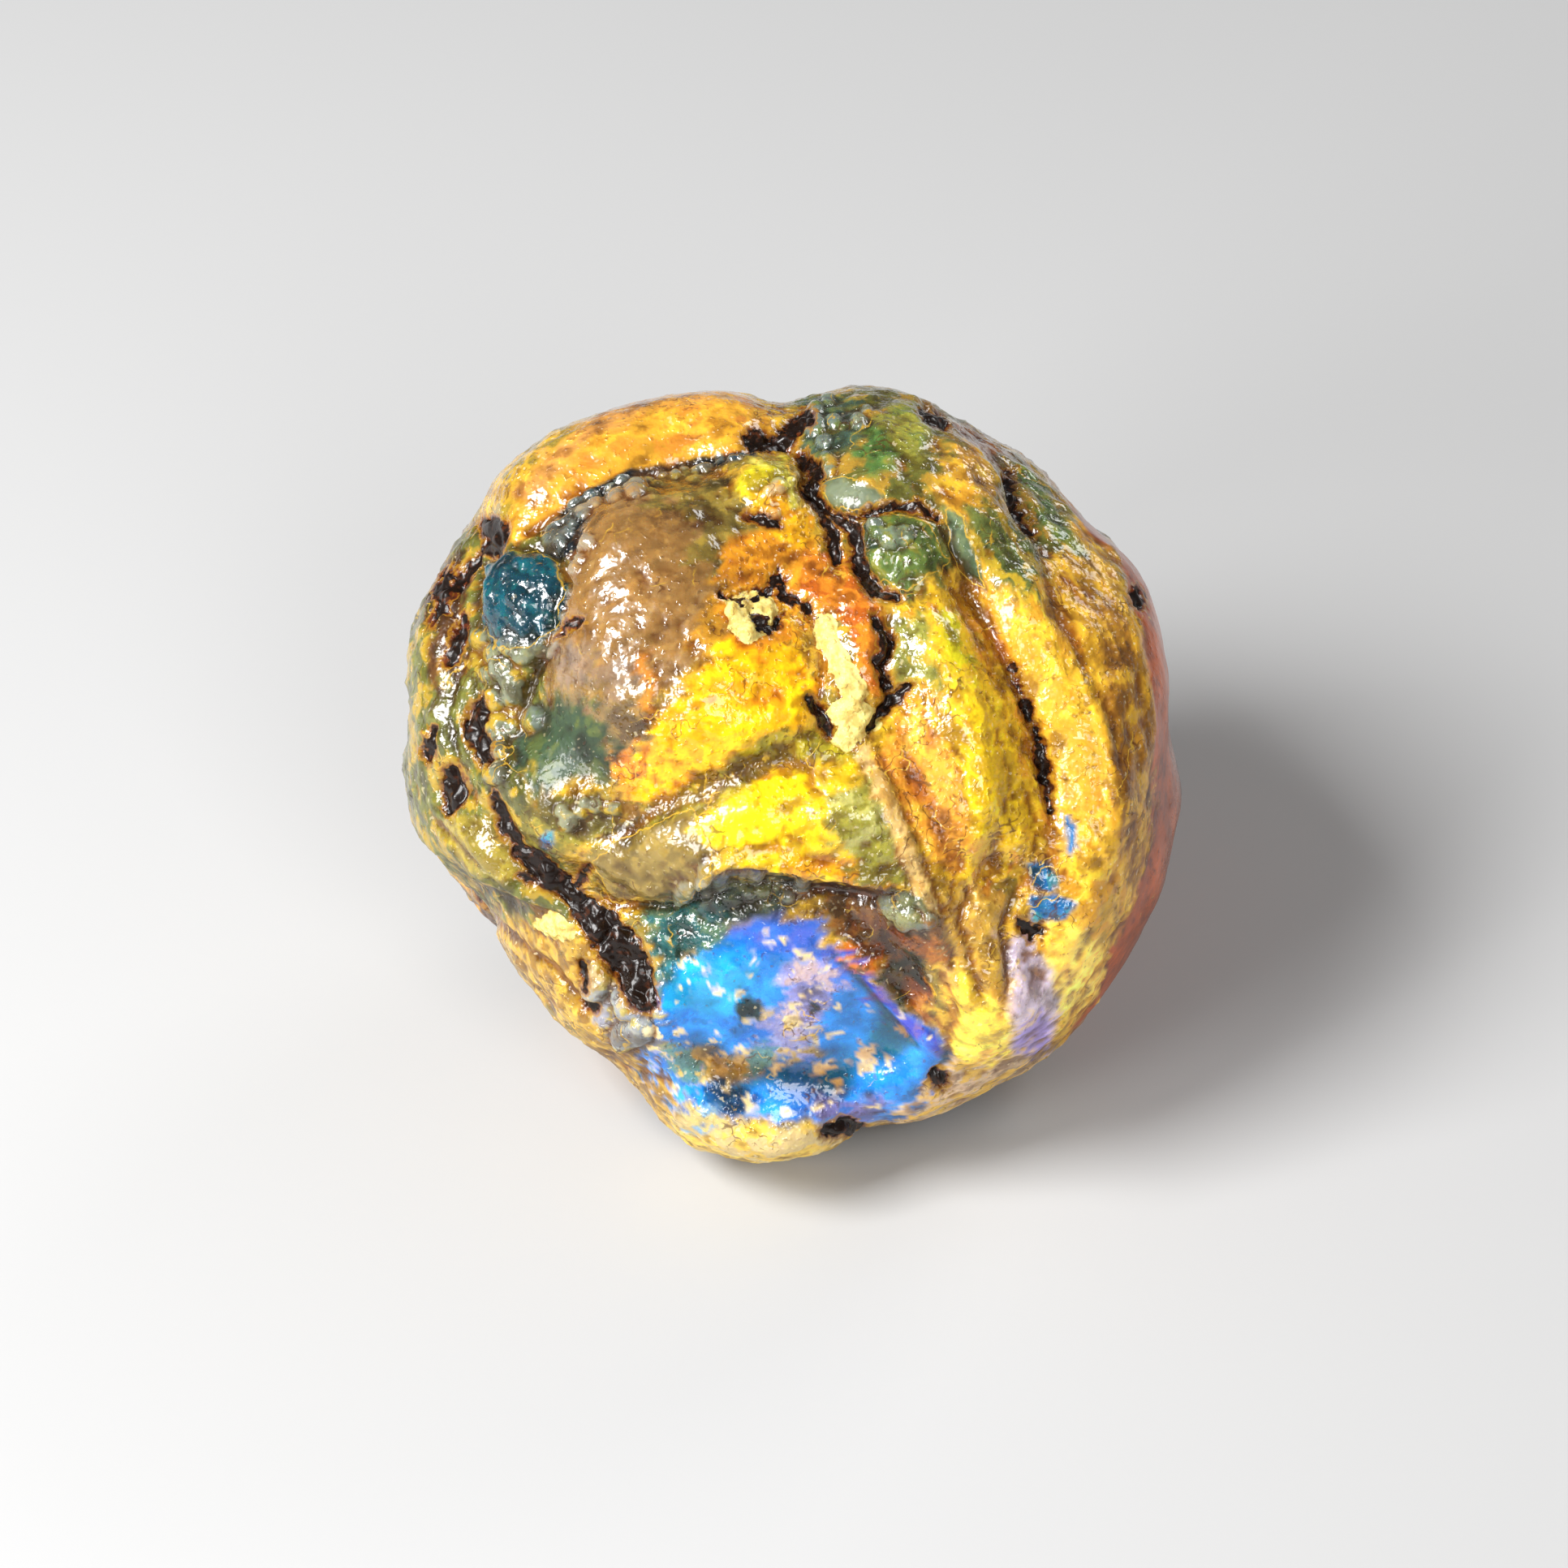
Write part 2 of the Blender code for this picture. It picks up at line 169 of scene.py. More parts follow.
def srgb(red, green, blue):
    """A colour of the sRGB scale, 0 to 255, as linear values."""
    values = np.array([red, green, blue]) / 255.0
    return np.where(values <= 0.04045, values / 12.92, ((values + 0.055) / 1.055) ** 2.4)


# The columns of a look's finish: how clear the amber is, how strong its painted glow is (light it
# gives off of its own, standing in for light thrown back from inside), the width and height of its
# pebbles in millimetres, how calm it is (1 where no flecks and threads cross it) and how dull (0
# where it is wet and glossy, 1 where it is satin)
CLEAR, PAINTED_GLOW, PEBBLE_WIDTH, PEBBLE_HEIGHT, CALM, DULL = range(6)


def look(color, fleck, clear, painted_glow, pebble=(1.1, 0.10), calm=0.25, dull=0.0):
    """A look to paint with: the linear colours of the amber and of its flecks, and its finish."""
    return srgb(*color), srgb(*fleck), np.array([clear, painted_glow, *pebble, calm, dull])


# Colour zones of the shown face, painted in this order over the ground: corners in photograph
# pixels, the softness of the edge in millimetres, and the look
ZONES = {
    "left_side": (
        [(480, 760), (560, 660), (640, 640), (720, 640), (700, 760), (690, 860), (660, 960),
         (720, 1080), (700, 1140), (560, 1130), (480, 950)],
        1.4, look((116, 118, 50), (192, 160, 50), 0.38, 0.14, (1.2, 0.26), dull=0.35)),
    "left_brown": (
        [(530, 720), (560, 680), (596, 700), (586, 760), (572, 830), (556, 870), (536, 850)],
        1.2, look((96, 62, 24), (150, 108, 34), 0.4, 0.05, dull=0.5)),
    "left_lobes": (
        [(545, 1010), (600, 1000), (650, 1040), (665, 1075), (620, 1090), (570, 1060)],
        0.8, look((172, 152, 58), (140, 120, 44), 0.25, 0.12, calm=0.5)),
    "right_ribs": (
        [(1190, 640), (1330, 640), (1400, 780), (1425, 1000), (1400, 1180), (1300, 1290),
         (1200, 1240), (1250, 1100), (1295, 1000), (1250, 860), (1190, 730)],
        1.2, look((224, 174, 48), (210, 150, 34), 0.12, 0.26, dull=0.5)),
    "ribs_bright": (
        [(1240, 700), (1290, 720), (1330, 800), (1350, 900), (1320, 960), (1280, 880), (1250, 800)],
        1.4, look((230, 180, 46), (212, 154, 40), 0.12, 0.34, dull=0.5)),
    "ribs_deep": (
        [(1340, 740), (1385, 780), (1405, 900), (1400, 1030), (1380, 1100), (1355, 1000),
         (1350, 880)], 1.2, look((176, 122, 34), (220, 168, 44), 0.2, 0.1, dull=0.7)),
    "right_field": (
        [(1101, 740), (1166, 730), (1228, 795), (1263, 898), (1285, 1000), (1243, 1063),
         (1192, 1090), (1140, 1080), (1095, 960), (1070, 905), (1105, 850)],
        0.8, look((224, 178, 36), (216, 146, 42), 0.2, 0.38)),
    "field_green": (
        [(1095, 770), (1130, 760), (1150, 800), (1140, 850), (1105, 860), (1090, 820)],
        1.0, look((142, 140, 60), (196, 170, 50), 0.3, 0.15)),
    "right_field_orange": (
        [(1080, 930), (1130, 880), (1165, 950), (1185, 1030), (1160, 1080), (1115, 1010)],
        1.0, look((222, 150, 44), (240, 184, 56), 0.1, 0.28, (1.2, 0.04), dull=0.7)),
    "right_field_lemon": (
        [(1190, 820), (1220, 870), (1250, 960), (1262, 1020), (1215, 1060), (1185, 1000),
         (1185, 920)], 1.6, look((228, 186, 22), (196, 156, 28), 0.15, 0.4)),
    "field_lime": (
        [(1150, 760), (1170, 750), (1190, 800), (1195, 850), (1175, 850), (1158, 810)],
        0.8, look((200, 190, 26), (226, 186, 30), 0.2, 0.36)),
    "lower_left": (
        [(600, 1120), (680, 1140), (760, 1210), (800, 1260), (850, 1400), (780, 1340), (690, 1250),
         (600, 1150)],
        1.0, look((204, 162, 60), (140, 104, 44), 0.15, 0.15, (1.2, 0.22), dull=0.4)),
    "orange_arch": (
        [(634, 673), (628, 650), (663, 589), (721, 530), (792, 490), (869, 480), (921, 485),
         (950, 518), (947, 550), (921, 570), (869, 573), (818, 586), (760, 611), (715, 631),
         (683, 653), (657, 669)],
        0.3, look((210, 152, 42), (190, 122, 38), 0.0, 0.12, (0.8, 0.05), calm=0.55)),
    "arch_top": (
        [(640, 620), (700, 540), (790, 485), (900, 475), (880, 500), (790, 520), (710, 575),
         (660, 640)], 1.2, look((186, 130, 62), (200, 144, 56), 0.0, 0.06, (0.8, 0.05), calm=0.5)),
    "arch_band": (
        [(674, 690), (688, 652), (730, 612), (778, 591), (830, 581), (905, 569), (940, 558),
         (930, 574), (860, 594), (812, 612), (776, 638), (750, 666), (722, 700)],
        0.1, look((30, 42, 50), (50, 70, 84), 0.35, 0.0, (1.0, 0.2))),
    "brown_dome": (
        [(715, 673), (741, 628), (792, 592), (857, 582), (902, 605), (918, 660), (892, 718),
         (884, 769), (869, 821), (831, 859), (805, 898), (760, 924), (728, 898), (690, 860),
         (676, 820), (690, 769), (704, 718)],
        0.7, look((152, 112, 58), (170, 132, 80), 0.36, 0.18, (1.3, 0.08), calm=0.8)),
    "dome_olive_top": (
        [(770, 610), (857, 582), (910, 610), (918, 660), (890, 720), (860, 700), (850, 650)],
        1.0, look((122, 104, 44), (160, 136, 58), 0.4, 0.08, (1.5, 0.3), calm=0.6)),
    "dome_rose": (
        [(680, 810), (740, 800), (800, 830), (780, 890), (720, 880)],
        1.2, look((148, 120, 90), (140, 112, 66), 0.35, 0.12, (1.2, 0.1), calm=0.8)),
    "dome_foot": (
        [(700, 850), (790, 860), (830, 880), (790, 960), (730, 950)],
        1.4, look((140, 112, 56), (168, 130, 70), 0.4, 0.08)),
    "dome_streak": (
        [(798, 815), (812, 812), (820, 850), (812, 895), (800, 890)],
        0.5, look((200, 128, 44), (204, 136, 54), 0.2, 0.15)),
    "green_lens": (
        [(660, 880), (690, 860), (730, 870), (750, 900), (790, 940), (760, 965), (710, 960),
         (680, 985), (655, 940)],
        1.6, look((66, 94, 62), (98, 118, 60), 0.5, 0.05, (1.5, 0.03), calm=0.5, dull=0.9)),
    "foot_olive": (
        [(650, 985), (700, 985), (760, 980), (820, 990), (760, 1030), (700, 1050), (660, 1030)],
        0.8, look((138, 128, 46), (190, 160, 50), 0.3, 0.12, dull=0.7)),
    "yellow_flank": (
        [(870, 830), (895, 790), (940, 785), (992, 808), (1003, 847), (992, 898), (930, 930),
         (850, 965), (805, 988), (779, 975), (800, 930), (831, 872)],
        0.8, look((246, 182, 12), (232, 152, 16), 0.1, 0.85, calm=0.5, dull=0.35)),
    "foot_orange": (
        [(770, 925), (795, 915), (800, 950), (790, 975), (770, 965)],
        0.6, look((236, 142, 30), (240, 176, 40), 0.1, 0.5)),
    "dome_right": (
        [(885, 720), (930, 700), (950, 780), (900, 800), (870, 840), (862, 790)],
        0.9, look((186, 132, 36), (160, 112, 40), 0.28, 0.15)),
    "speckled_orange": (
        [(890, 680), (960, 662), (1010, 680), (1035, 740), (1000, 785), (935, 810), (890, 775)],
        0.6, look((222, 148, 32), (206, 128, 26), 0.2, 0.34)),
    "lime_knob": (
        [(915, 592), (940, 574), (966, 578), (980, 612), (990, 655), (947, 656), (912, 625)],
        0.4, look((210, 194, 30), (232, 220, 96), 0.25, 0.45)),
    "knob_gold": (
        [(915, 625), (950, 610), (990, 640), (1000, 690), (960, 680), (925, 660)],
        0.6, look((230, 168, 20), (200, 130, 20), 0.2, 0.4)),
    "green_shoulder": (
        [(985, 500), (1060, 480), (1130, 478), (1190, 510), (1250, 570), (1320, 640), (1290, 690),
         (1256, 690), (1211, 660), (1179, 698), (1153, 725), (1101, 740), (1063, 722), (1037, 672),
         (1005, 640), (985, 560)],
        0.8, look((120, 120, 50), (186, 146, 50), 0.38, 0.12, (1.5, 0.24))),
    "shoulder_teal": (
        [(985, 500), (1030, 492), (1060, 520), (1050, 560), (1020, 590), (990, 560)],
        0.9, look((78, 104, 84), (110, 124, 70), 0.42, 0.06, (1.6, 0.22))),
    "shoulder_green": (
        [(1062, 545), (1095, 540), (1100, 585), (1075, 600), (1058, 580)],
        0.7, look((92, 132, 62), (120, 142, 66), 0.4, 0.16, (1.6, 0.26))),
    "shoulder_lime": (
        [(1085, 500), (1130, 505), (1150, 550), (1120, 580), (1092, 560)],
        0.8, look((160, 158, 60), (128, 140, 60), 0.35, 0.18, (1.6, 0.26))),
    "shoulder_gold": (
        [(1150, 570), (1200, 560), (1230, 620), (1180, 660), (1140, 630)],
        0.9, look((200, 146, 40), (226, 180, 50), 0.2, 0.22, (1.4, 0.24))),
    "shoulder_rust": (
        [(1150, 520), (1210, 530), (1260, 590), (1230, 590), (1180, 560)],
        0.9, look((156, 96, 44), (120, 100, 44), 0.3, 0.06)),
    "shoulder_edge": (
        [(1240, 570), (1262, 575), (1310, 650), (1330, 690), (1300, 680), (1265, 620)],
        0.7, look((92, 126, 56), (140, 150, 50), 0.35, 0.12)),
    "right_green": (
        [(1200, 640), (1270, 670), (1290, 720), (1250, 750), (1220, 730), (1190, 690)],
        1.0, look((104, 116, 56), (196, 166, 46), 0.35, 0.1, (1.4, 0.2))),
    "green_cushion": (
        [(1040, 650), (1090, 640), (1140, 660), (1160, 705), (1110, 735), (1065, 722)],
        0.5, look((108, 134, 62), (146, 150, 60), 0.42, 0.14, (1.6, 0.24))),
    "cushion_deep": (
        [(1045, 655), (1080, 650), (1090, 680), (1070, 700), (1050, 690)],
        0.6, look((64, 94, 62), (90, 112, 60), 0.45, 0.05)),
    "grey_plate": (
        [(1006, 606), (1030, 600), (1072, 612), (1090, 628), (1050, 644), (1018, 634)],
        0.15, look((116, 126, 98), (96, 108, 80), 0.2, 0.0, calm=0.8, dull=0.6)),
    "right_plate": (
        [(1156, 634), (1180, 650), (1192, 690), (1205, 735), (1180, 715), (1164, 680)],
        0.15, look((112, 128, 88), (84, 104, 72), 0.25, 0.0, calm=0.8, dull=0.5)),
    "orange_island": (
        [(985, 685), (1040, 690), (1065, 730), (1085, 768), (1092, 820), (1075, 868), (1056, 850),
         (1048, 800), (1028, 768), (985, 740)],
        0.3, look((212, 128, 32), (182, 92, 22), 0.2, 0.28, (1.5, 0.12))),
    "olive_band": (
        [(779, 1030), (860, 965), (950, 905), (1020, 895), (1060, 935), (990, 940), (921, 975),
         (850, 1010)], 0.6, look((160, 146, 32), (196, 176, 34), 0.3, 0.22, dull=0.5)),
    "lip_brown": (
        [(734, 1059), (779, 1028), (857, 995), (875, 1027), (880, 1066), (838, 1100), (765, 1100)],
        0.5, look((142, 118, 52), (164, 138, 66), 0.35, 0.08, (0.9, 0.14), calm=0.6, dull=0.4)),
    "lemon": (
        [(860, 1016), (921, 972), (985, 934), (1052, 938), (1050, 969), (1030, 990), (1020, 1030),
         (1040, 1062), (1070, 1074), (1000, 1072), (934, 1062), (880, 1040)],
        0.8, look((234, 192, 14), (196, 158, 18), 0.15, 0.52, (1.3, 0.12), calm=0.5, dull=0.5)),
    "lemon_heart": (
        [(890, 1015), (930, 990), (960, 1000), (975, 1040), (945, 1055), (905, 1040)],
        1.0, look((250, 212, 18), (232, 180, 12), 0.05, 0.65, calm=0.8, dull=0.4)),
    "lemon_amber": (
        [(960, 1040), (1010, 1050), (1080, 1070), (1100, 1086), (1030, 1080), (970, 1068)],
        0.5, look((232, 160, 16), (244, 196, 20), 0.15, 0.5)),
    "olive_knob": (
        [(1014, 985), (1062, 965), (1104, 1020), (1114, 1082), (1063, 1078), (1024, 1040)],
        0.7, look((168, 160, 62), (196, 190, 104), 0.3, 0.2)),
    "root_mass": (
        [(1130, 1090), (1200, 1085), (1235, 1110), (1225, 1210), (1160, 1215)],
        1.0, look((208, 164, 66), (186, 140, 54), 0.12, 0.18, (0.9, 0.16))),
    "root_strap": (
        [(1048, 925), (1068, 918), (1095, 975), (1120, 1040), (1150, 1120), (1160, 1190),
         (1135, 1150), (1108, 1070), (1080, 1000)],
        0.4, look((214, 178, 108), (190, 146, 74), 0.05, 0.14, dull=0.7)),
    "under_lip_grey": (
        [(800, 1105), (850, 1085), (900, 1068), (965, 1068), (1000, 1085), (960, 1125), (900, 1130),
         (850, 1180), (820, 1200), (795, 1160)],
        0.8, look((84, 98, 80), (120, 126, 90), 0.4, 0.05, (1.0, 0.2))),
    "brown_hollow": (
        [(975, 1080), (1050, 1078), (1110, 1090), (1150, 1120), (1170, 1180), (1120, 1180),
         (1060, 1160), (1010, 1130)], 0.8, look((96, 68, 30), (140, 92, 36), 0.4, 0.05, calm=0.6)),
    "beaded_pearl": (
        [(1080, 1098), (1104, 1088), (1130, 1096), (1138, 1120), (1120, 1140), (1088, 1132)],
        0.4, look((112, 116, 76), (144, 146, 96), 0.4, 0.05)),
    "window": (
        [(805, 1215), (830, 1180), (871, 1155), (909, 1140), (950, 1132), (995, 1134), (1034, 1162),
         (1058, 1183), (1150, 1260), (1168, 1300), (1150, 1335), (1090, 1372), (1040, 1388),
         (1000, 1372), (940, 1368), (870, 1372), (830, 1350), (790, 1290)],
        1.0, look((28, 136, 226), (24, 112, 206), 0.25, 0.75, (1.0, 0.0), calm=0.85)),
    "window_teal": (
        [(800, 1110), (850, 1100), (900, 1120), (880, 1165), (840, 1190), (815, 1220), (795, 1170)],
        1.4, look((52, 112, 112), (96, 132, 104), 0.35, 0.12, (1.0, 0.16))),
    "window_cyan": (
        [(830, 1190), (880, 1170), (930, 1190), (920, 1230), (870, 1250), (835, 1235)],
        1.8, look((30, 164, 224), (36, 146, 212), 0.25, 0.8, (1.0, 0.0), calm=0.95)),
    "window_azure": (
        [(1000, 1225), (1060, 1230), (1115, 1290), (1110, 1330), (1050, 1335), (1005, 1290)],
        1.8, look((26, 146, 244), (22, 126, 226), 0.2, 0.9, (1.0, 0.0), calm=1.0)),
    "window_violet": (
        [(900, 1135), (960, 1122), (1010, 1140), (1060, 1190), (1030, 1200), (980, 1165),
         (920, 1160)], 1.8, look((62, 116, 222), (84, 108, 206), 0.22, 0.6, (1.0, 0.0), calm=0.9)),
    "violet_fold": (
        [(1012, 1150), (1040, 1160), (1075, 1195), (1160, 1280), (1150, 1296), (1105, 1255),
         (1050, 1195)], 1.1, look((62, 72, 184), (112, 86, 152), 0.25, 0.3, (1.0, 0.0), calm=0.9)),
    "window_veil": (
        [(965, 1185), (1005, 1165), (1035, 1205), (1015, 1250), (985, 1270), (965, 1240)],
        1.1, look((150, 150, 214), (192, 168, 176), 0.12, 0.45, (1.0, 0.02))),
    "window_gold_left": (
        [(800, 1270), (850, 1285), (900, 1290), (945, 1280), (950, 1310), (900, 1330), (830, 1330)],
        1.0, look((196, 168, 86), (96, 146, 150), 0.15, 0.28, (1.0, 0.02))),
    "window_gold_mid": (
        [(935, 1235), (985, 1250), (1005, 1290), (985, 1310), (950, 1285)],
        1.0, look((214, 180, 110), (140, 140, 190), 0.12, 0.32, (1.0, 0.02))),
    "window_speck": (
        [(908, 1228), (924, 1222), (942, 1230), (938, 1250), (922, 1246), (912, 1254)],
        0.25, look((10, 44, 50), (20, 70, 80), 0.3, 0.0)),
    "window_speck_small": (
        [(994, 1230), (1004, 1228), (1008, 1240), (998, 1242)],
        0.2, look((24, 50, 66), (30, 70, 90), 0.3, 0.0)),
    "window_deep": (
        [(868, 1340), (900, 1330), (935, 1345), (925, 1370), (880, 1368)],
        0.9, look((14, 92, 156), (20, 110, 190), 0.3, 0.25, (1.0, 0.0))),
    "window_lilac_low": (
        [(985, 1330), (1040, 1345), (1100, 1345), (1070, 1378), (1010, 1368), (975, 1350)],
        1.0, look((120, 118, 180), (60, 110, 190), 0.2, 0.25, (1.0, 0.0), dull=0.6)),
    "knee_pearls": (
        [(735, 1210), (780, 1215), (820, 1240), (812, 1290), (770, 1280), (742, 1245)],
        1.2, look((150, 150, 160), (190, 176, 104), 0.3, 0.22, (1.5, 0.14), dull=0.4)),
    # Painted shadow: a dark green-brown patch that stands in for shade
    "dark_green_shadow": (
        [(1075, 1180), (1125, 1165), (1145, 1200), (1140, 1235), (1105, 1230)],
        0.8, look((50, 58, 28), (92, 72, 30), 0.45, 0.0)),
    "ember_left": (
        [(1040, 1150), (1075, 1156), (1092, 1180), (1060, 1190), (1040, 1172)],
        1.0, look((196, 106, 26), (104, 64, 28), 0.15, 0.18)),
    "ember_right": (
        [(1100, 1146), (1140, 1148), (1168, 1170), (1150, 1182), (1110, 1168)],
        1.0, look((176, 108, 38), (124, 82, 36), 0.2, 0.12)),
    "ember_low": (
        [(1112, 1210), (1140, 1205), (1150, 1235), (1130, 1245)],
        0.9, look((180, 112, 36), (124, 84, 34), 0.2, 0.12)),
    "yellow_patch": (
        [(1158, 1215), (1190, 1195), (1235, 1230), (1245, 1285), (1200, 1308), (1165, 1290)],
        0.7, look((250, 210, 66), (236, 180, 60), 0.05, 0.75, calm=0.5)),
    "lower_right_yellow": (
        [(1270, 1140), (1320, 1130), (1350, 1170), (1345, 1215), (1300, 1250), (1268, 1210)],
        1.1, look((255, 218, 80), (236, 184, 60), 0.05, 1.0, calm=0.8)),
    "lilac_knob": (
        [(1228, 1160), (1262, 1150), (1285, 1190), (1290, 1240), (1292, 1290), (1250, 1310),
         (1238, 1250)], 1.0, look((208, 190, 206), (224, 188, 134), 0.12, 0.5, calm=0.6)),
    "lilac_violet": (
        [(1250, 1245), (1280, 1240), (1290, 1280), (1262, 1300), (1246, 1280)],
        0.8, look((156, 136, 206), (188, 160, 186), 0.15, 0.42, calm=0.8)),
    "lilac_edge": (
        [(1160, 1300), (1230, 1300), (1290, 1290), (1250, 1335), (1170, 1370), (1100, 1395),
         (1110, 1360)], 0.9, look((208, 176, 140), (222, 176, 76), 0.08, 0.25, dull=0.5)),
    "toe_cream": (
        [(820, 1365), (900, 1375), (1010, 1380), (1060, 1400), (1000, 1440), (900, 1440),
         (840, 1410)],
        1.0, look((232, 192, 80), (208, 182, 124), 0.15, 0.34, (1.2, 0.12), dull=0.6)),
    "toe_blue": (
        [(835, 1350), (880, 1360), (900, 1385), (860, 1390)],
        0.8, look((120, 152, 176), (200, 180, 110), 0.15, 0.25)),
    "teal_bump": (
        [(604, 745), (608, 705), (632, 686), (668, 684), (694, 700), (702, 740), (694, 780),
         (668, 800), (628, 800), (606, 778)],
        0.25, look((10, 66, 82), (14, 104, 120), 0.5, 0.1, (1.5, 0.24), calm=0.6)),
    # The right flank's dark red-brown: partly the amber's own colour, partly painted shade of the
    # side turned away from the light
    "flank": (
        [(1285, 585), (1339, 665), (1372, 697), (1390, 760), (1404, 850), (1408, 950), (1404, 1030),
         (1390, 1100), (1373, 1140), (1357, 1178), (1345, 1225), (1310, 1275), (1345, 1300),
         (1420, 1250), (1500, 1150), (1520, 950), (1480, 780), (1420, 640), (1320, 550)],
        0.5, look((164, 72, 3), (104, 38, 2), 0.35, 0.65, (1.6, 0.03), calm=0.95, dull=0.5)),
}

# Small bright blue flecks on the right, as corners in photograph pixels
BLUE_FLECKS = {
    "upper": [(1294, 1000), (1306, 1006), (1311, 1042), (1298, 1050)],
    "middle": [(1254, 1060), (1276, 1053), (1290, 1075), (1284, 1094), (1262, 1092)],
    "lower": [(1258, 1102), (1290, 1096), (1314, 1112), (1296, 1130), (1262, 1132)],
    "green_edge": [(676, 1030), (690, 1024), (696, 1040), (682, 1046)],
}

# Dark seams, bark remains and pockets: path in photograph pixels, half width at the ends and in
# the middle in pixels, and how ragged the edge is
DARK_MARKS = {
    "seam_head": ([(934, 557), (962, 552), (990, 522), (1000, 534)], 5, 10, 1.0),
    "seam_upper": ([(985, 566), (1004, 590), (998, 616), (1014, 640)], 4, 8, 1.1),
    "seam_lower": ([(1014, 640), (1046, 664), (1052, 706), (1076, 738), (1098, 744)], 4, 7, 1.0),
    "plate_edge": ([(1044, 650), (1090, 636), (1125, 634), (1150, 648)], 2, 3, 0.9),
    "island_right": ([(1074, 768), (1090, 797), (1079, 827), (1090, 853)], 4, 7, 0.8),
    "island_foot": ([(1112, 850), (1096, 866), (1078, 884), (1066, 902)], 3, 5, 1.0),
    "cream_left": ([(996, 866), (1010, 884), (1020, 908)], 4, 6, 0.8),
    "cluster_left": ([(918, 748), (930, 772), (950, 782), (966, 766)], 3, 6, 2.0),
    "cluster_top": ([(896, 742), (922, 752), (950, 738), (962, 716)], 2, 5, 2.0),
    "cluster_right": ([(962, 716), (966, 742), (990, 756), (1004, 770)], 3, 6, 1.8),
    "slit": ([(918, 646), (940, 652), (962, 660)], 2, 6, 0.6),
    "rib_crevice": ([(1236, 824), (1252, 868), (1268, 910), (1276, 960), (1285, 1010)], 1, 4, 1.7),
    "shoulder_dark": ([(1238, 585), (1242, 622), (1268, 662)], 2, 6, 1.7),
    "crown_spot": ([(1136, 514), (1160, 530)], 6, 10, 1.0),
    "left_hollow": ([(604, 652), (618, 662), (612, 680)], 10, 15, 0.6),
    "left_streak": ([(600, 684), (578, 712), (552, 742), (540, 770)], 3, 7, 1.4),
    "left_strip": ([(580, 764), (570, 800), (562, 822)], 3, 7, 1.3),
    "left_pocket_upper": ([(606, 868), (596, 896), (606, 936)], 7, 14, 0.9),
    "left_pocket_lower": ([(566, 952), (568, 978), (562, 994)], 8, 15, 0.8),
    "bark_top": ([(621, 978), (630, 1012), (655, 1048)], 4, 8, 0.5),
    "bark_middle": ([(648, 1046), (667, 1060), (690, 1080), (722, 1108)], 8, 14, 0.9),
    "bark_foot": ([(716, 1104), (745, 1134), (772, 1166), (786, 1196), (800, 1226)], 12, 23, 0.9),
    "bark_twig_right": ([(716, 1092), (724, 1078), (732, 1066)], 2, 4, 0.5),
    "bark_twig_left": ([(668, 1084), (650, 1076)], 2, 4, 0.5),
    "small_vein": ([(720, 1180), (728, 1196), (732, 1212)], 2, 4, 0.6),
    "lower_spot": ([(722, 1232), (736, 1238)], 4, 6, 0.8),
    "right_pocket": ([(1150, 1318), (1160, 1330)], 6, 10, 1.0),
    "toe_pocket": ([(1018, 1388), (1040, 1382), (1058, 1388)], 6, 11, 1.2),
    "left_patch_upper": ([(560, 706), (548, 730), (556, 756)], 4, 9, 1.6),
    "left_patch_low": ([(544, 900), (536, 925), (540, 940)], 2, 6, 1.6),
    "left_twig": ([(590, 900), (612, 916), (616, 944)], 3, 6, 1.2),
    "dome_side": ([(700, 790), (712, 778), (728, 772)], 2, 5, 1.0),
    "arch_end": ([(920, 556), (934, 546), (950, 560)], 4, 8, 1.4),
    "flank_spot": ([(1392, 730), (1398, 750)], 4, 8, 1.2),
    "field_spot": ([(1010, 640), (1024, 668), (1030, 700)], 3, 6, 1.2),
    "below_fleck": ([(1246, 1128), (1262, 1142), (1274, 1138)], 4, 8, 1.6),
}

# Cream crust: corners in photograph pixels
CRUSTS = {
    "island_crust": [
        (1004, 765), (1022, 768), (1030, 800), (1048, 830), (1063, 856), (1058, 872), (1084, 882),
        (1078, 898), (1060, 906), (1040, 927), (1024, 918), (1031, 900), (1018, 882), (1033, 862),
        (1020, 820), (1003, 790)],
    "cluster_crust": [
        (900, 750), (925, 738), (950, 742), (958, 762), (946, 786), (922, 800), (902, 784)],
    "bark_crust": [(664, 1132), (690, 1122), (714, 1136), (712, 1152), (686, 1150)],
}

# Rows of glossy beads: path in photograph pixels, spread across it, bead radius and count
BEAD_ROWS = {
    "arch_beads": ([(692, 676), (712, 652), (744, 626), (790, 604)], 8, 15.0, 13),
    "arch_beads_far": ([(806, 598), (860, 586), (916, 572)], 5, 8.0, 9),
    "dome_edge": ([(735, 674), (716, 706), (702, 745), (694, 790)], 7, 9.0, 8),
    "left_pearls": ([(622, 812), (650, 850), (640, 900), (628, 950)], 26, 14.0, 16),
    "teal_foot": ([(640, 806), (672, 810), (694, 800)], 8, 13.0, 5),
    "lip_beads": ([(845, 1092), (880, 1078), (930, 1082), (975, 1086)], 14, 11.0, 16),
    "lens_foot": ([(700, 1000), (730, 996), (760, 1004)], 12, 12.0, 7),
    "knee_pearls": ([(740, 1200), (768, 1240), (800, 1262)], 16, 18.0, 6),
    "pearl_beads": ([(1088, 1106), (1110, 1112), (1128, 1124)], 13, 10.0, 12),
    "cluster_disc": ([(921, 787), (922, 787)], 0, 11.0, 1),
    "shoulder_pearls": ([(1005, 510), (1040, 520), (1070, 545)], 22, 11.0, 5),
    "seam_pearls": ([(1000, 545), (1012, 565), (1020, 590), (1000, 606)], 8, 12.0, 5),
    "green_pearls": ([(1060, 660), (1090, 690), (1120, 680)], 18, 12.0, 5),
    "lime_beads": ([(975, 592), (958, 612), (950, 640)], 8, 10.0, 5),
}

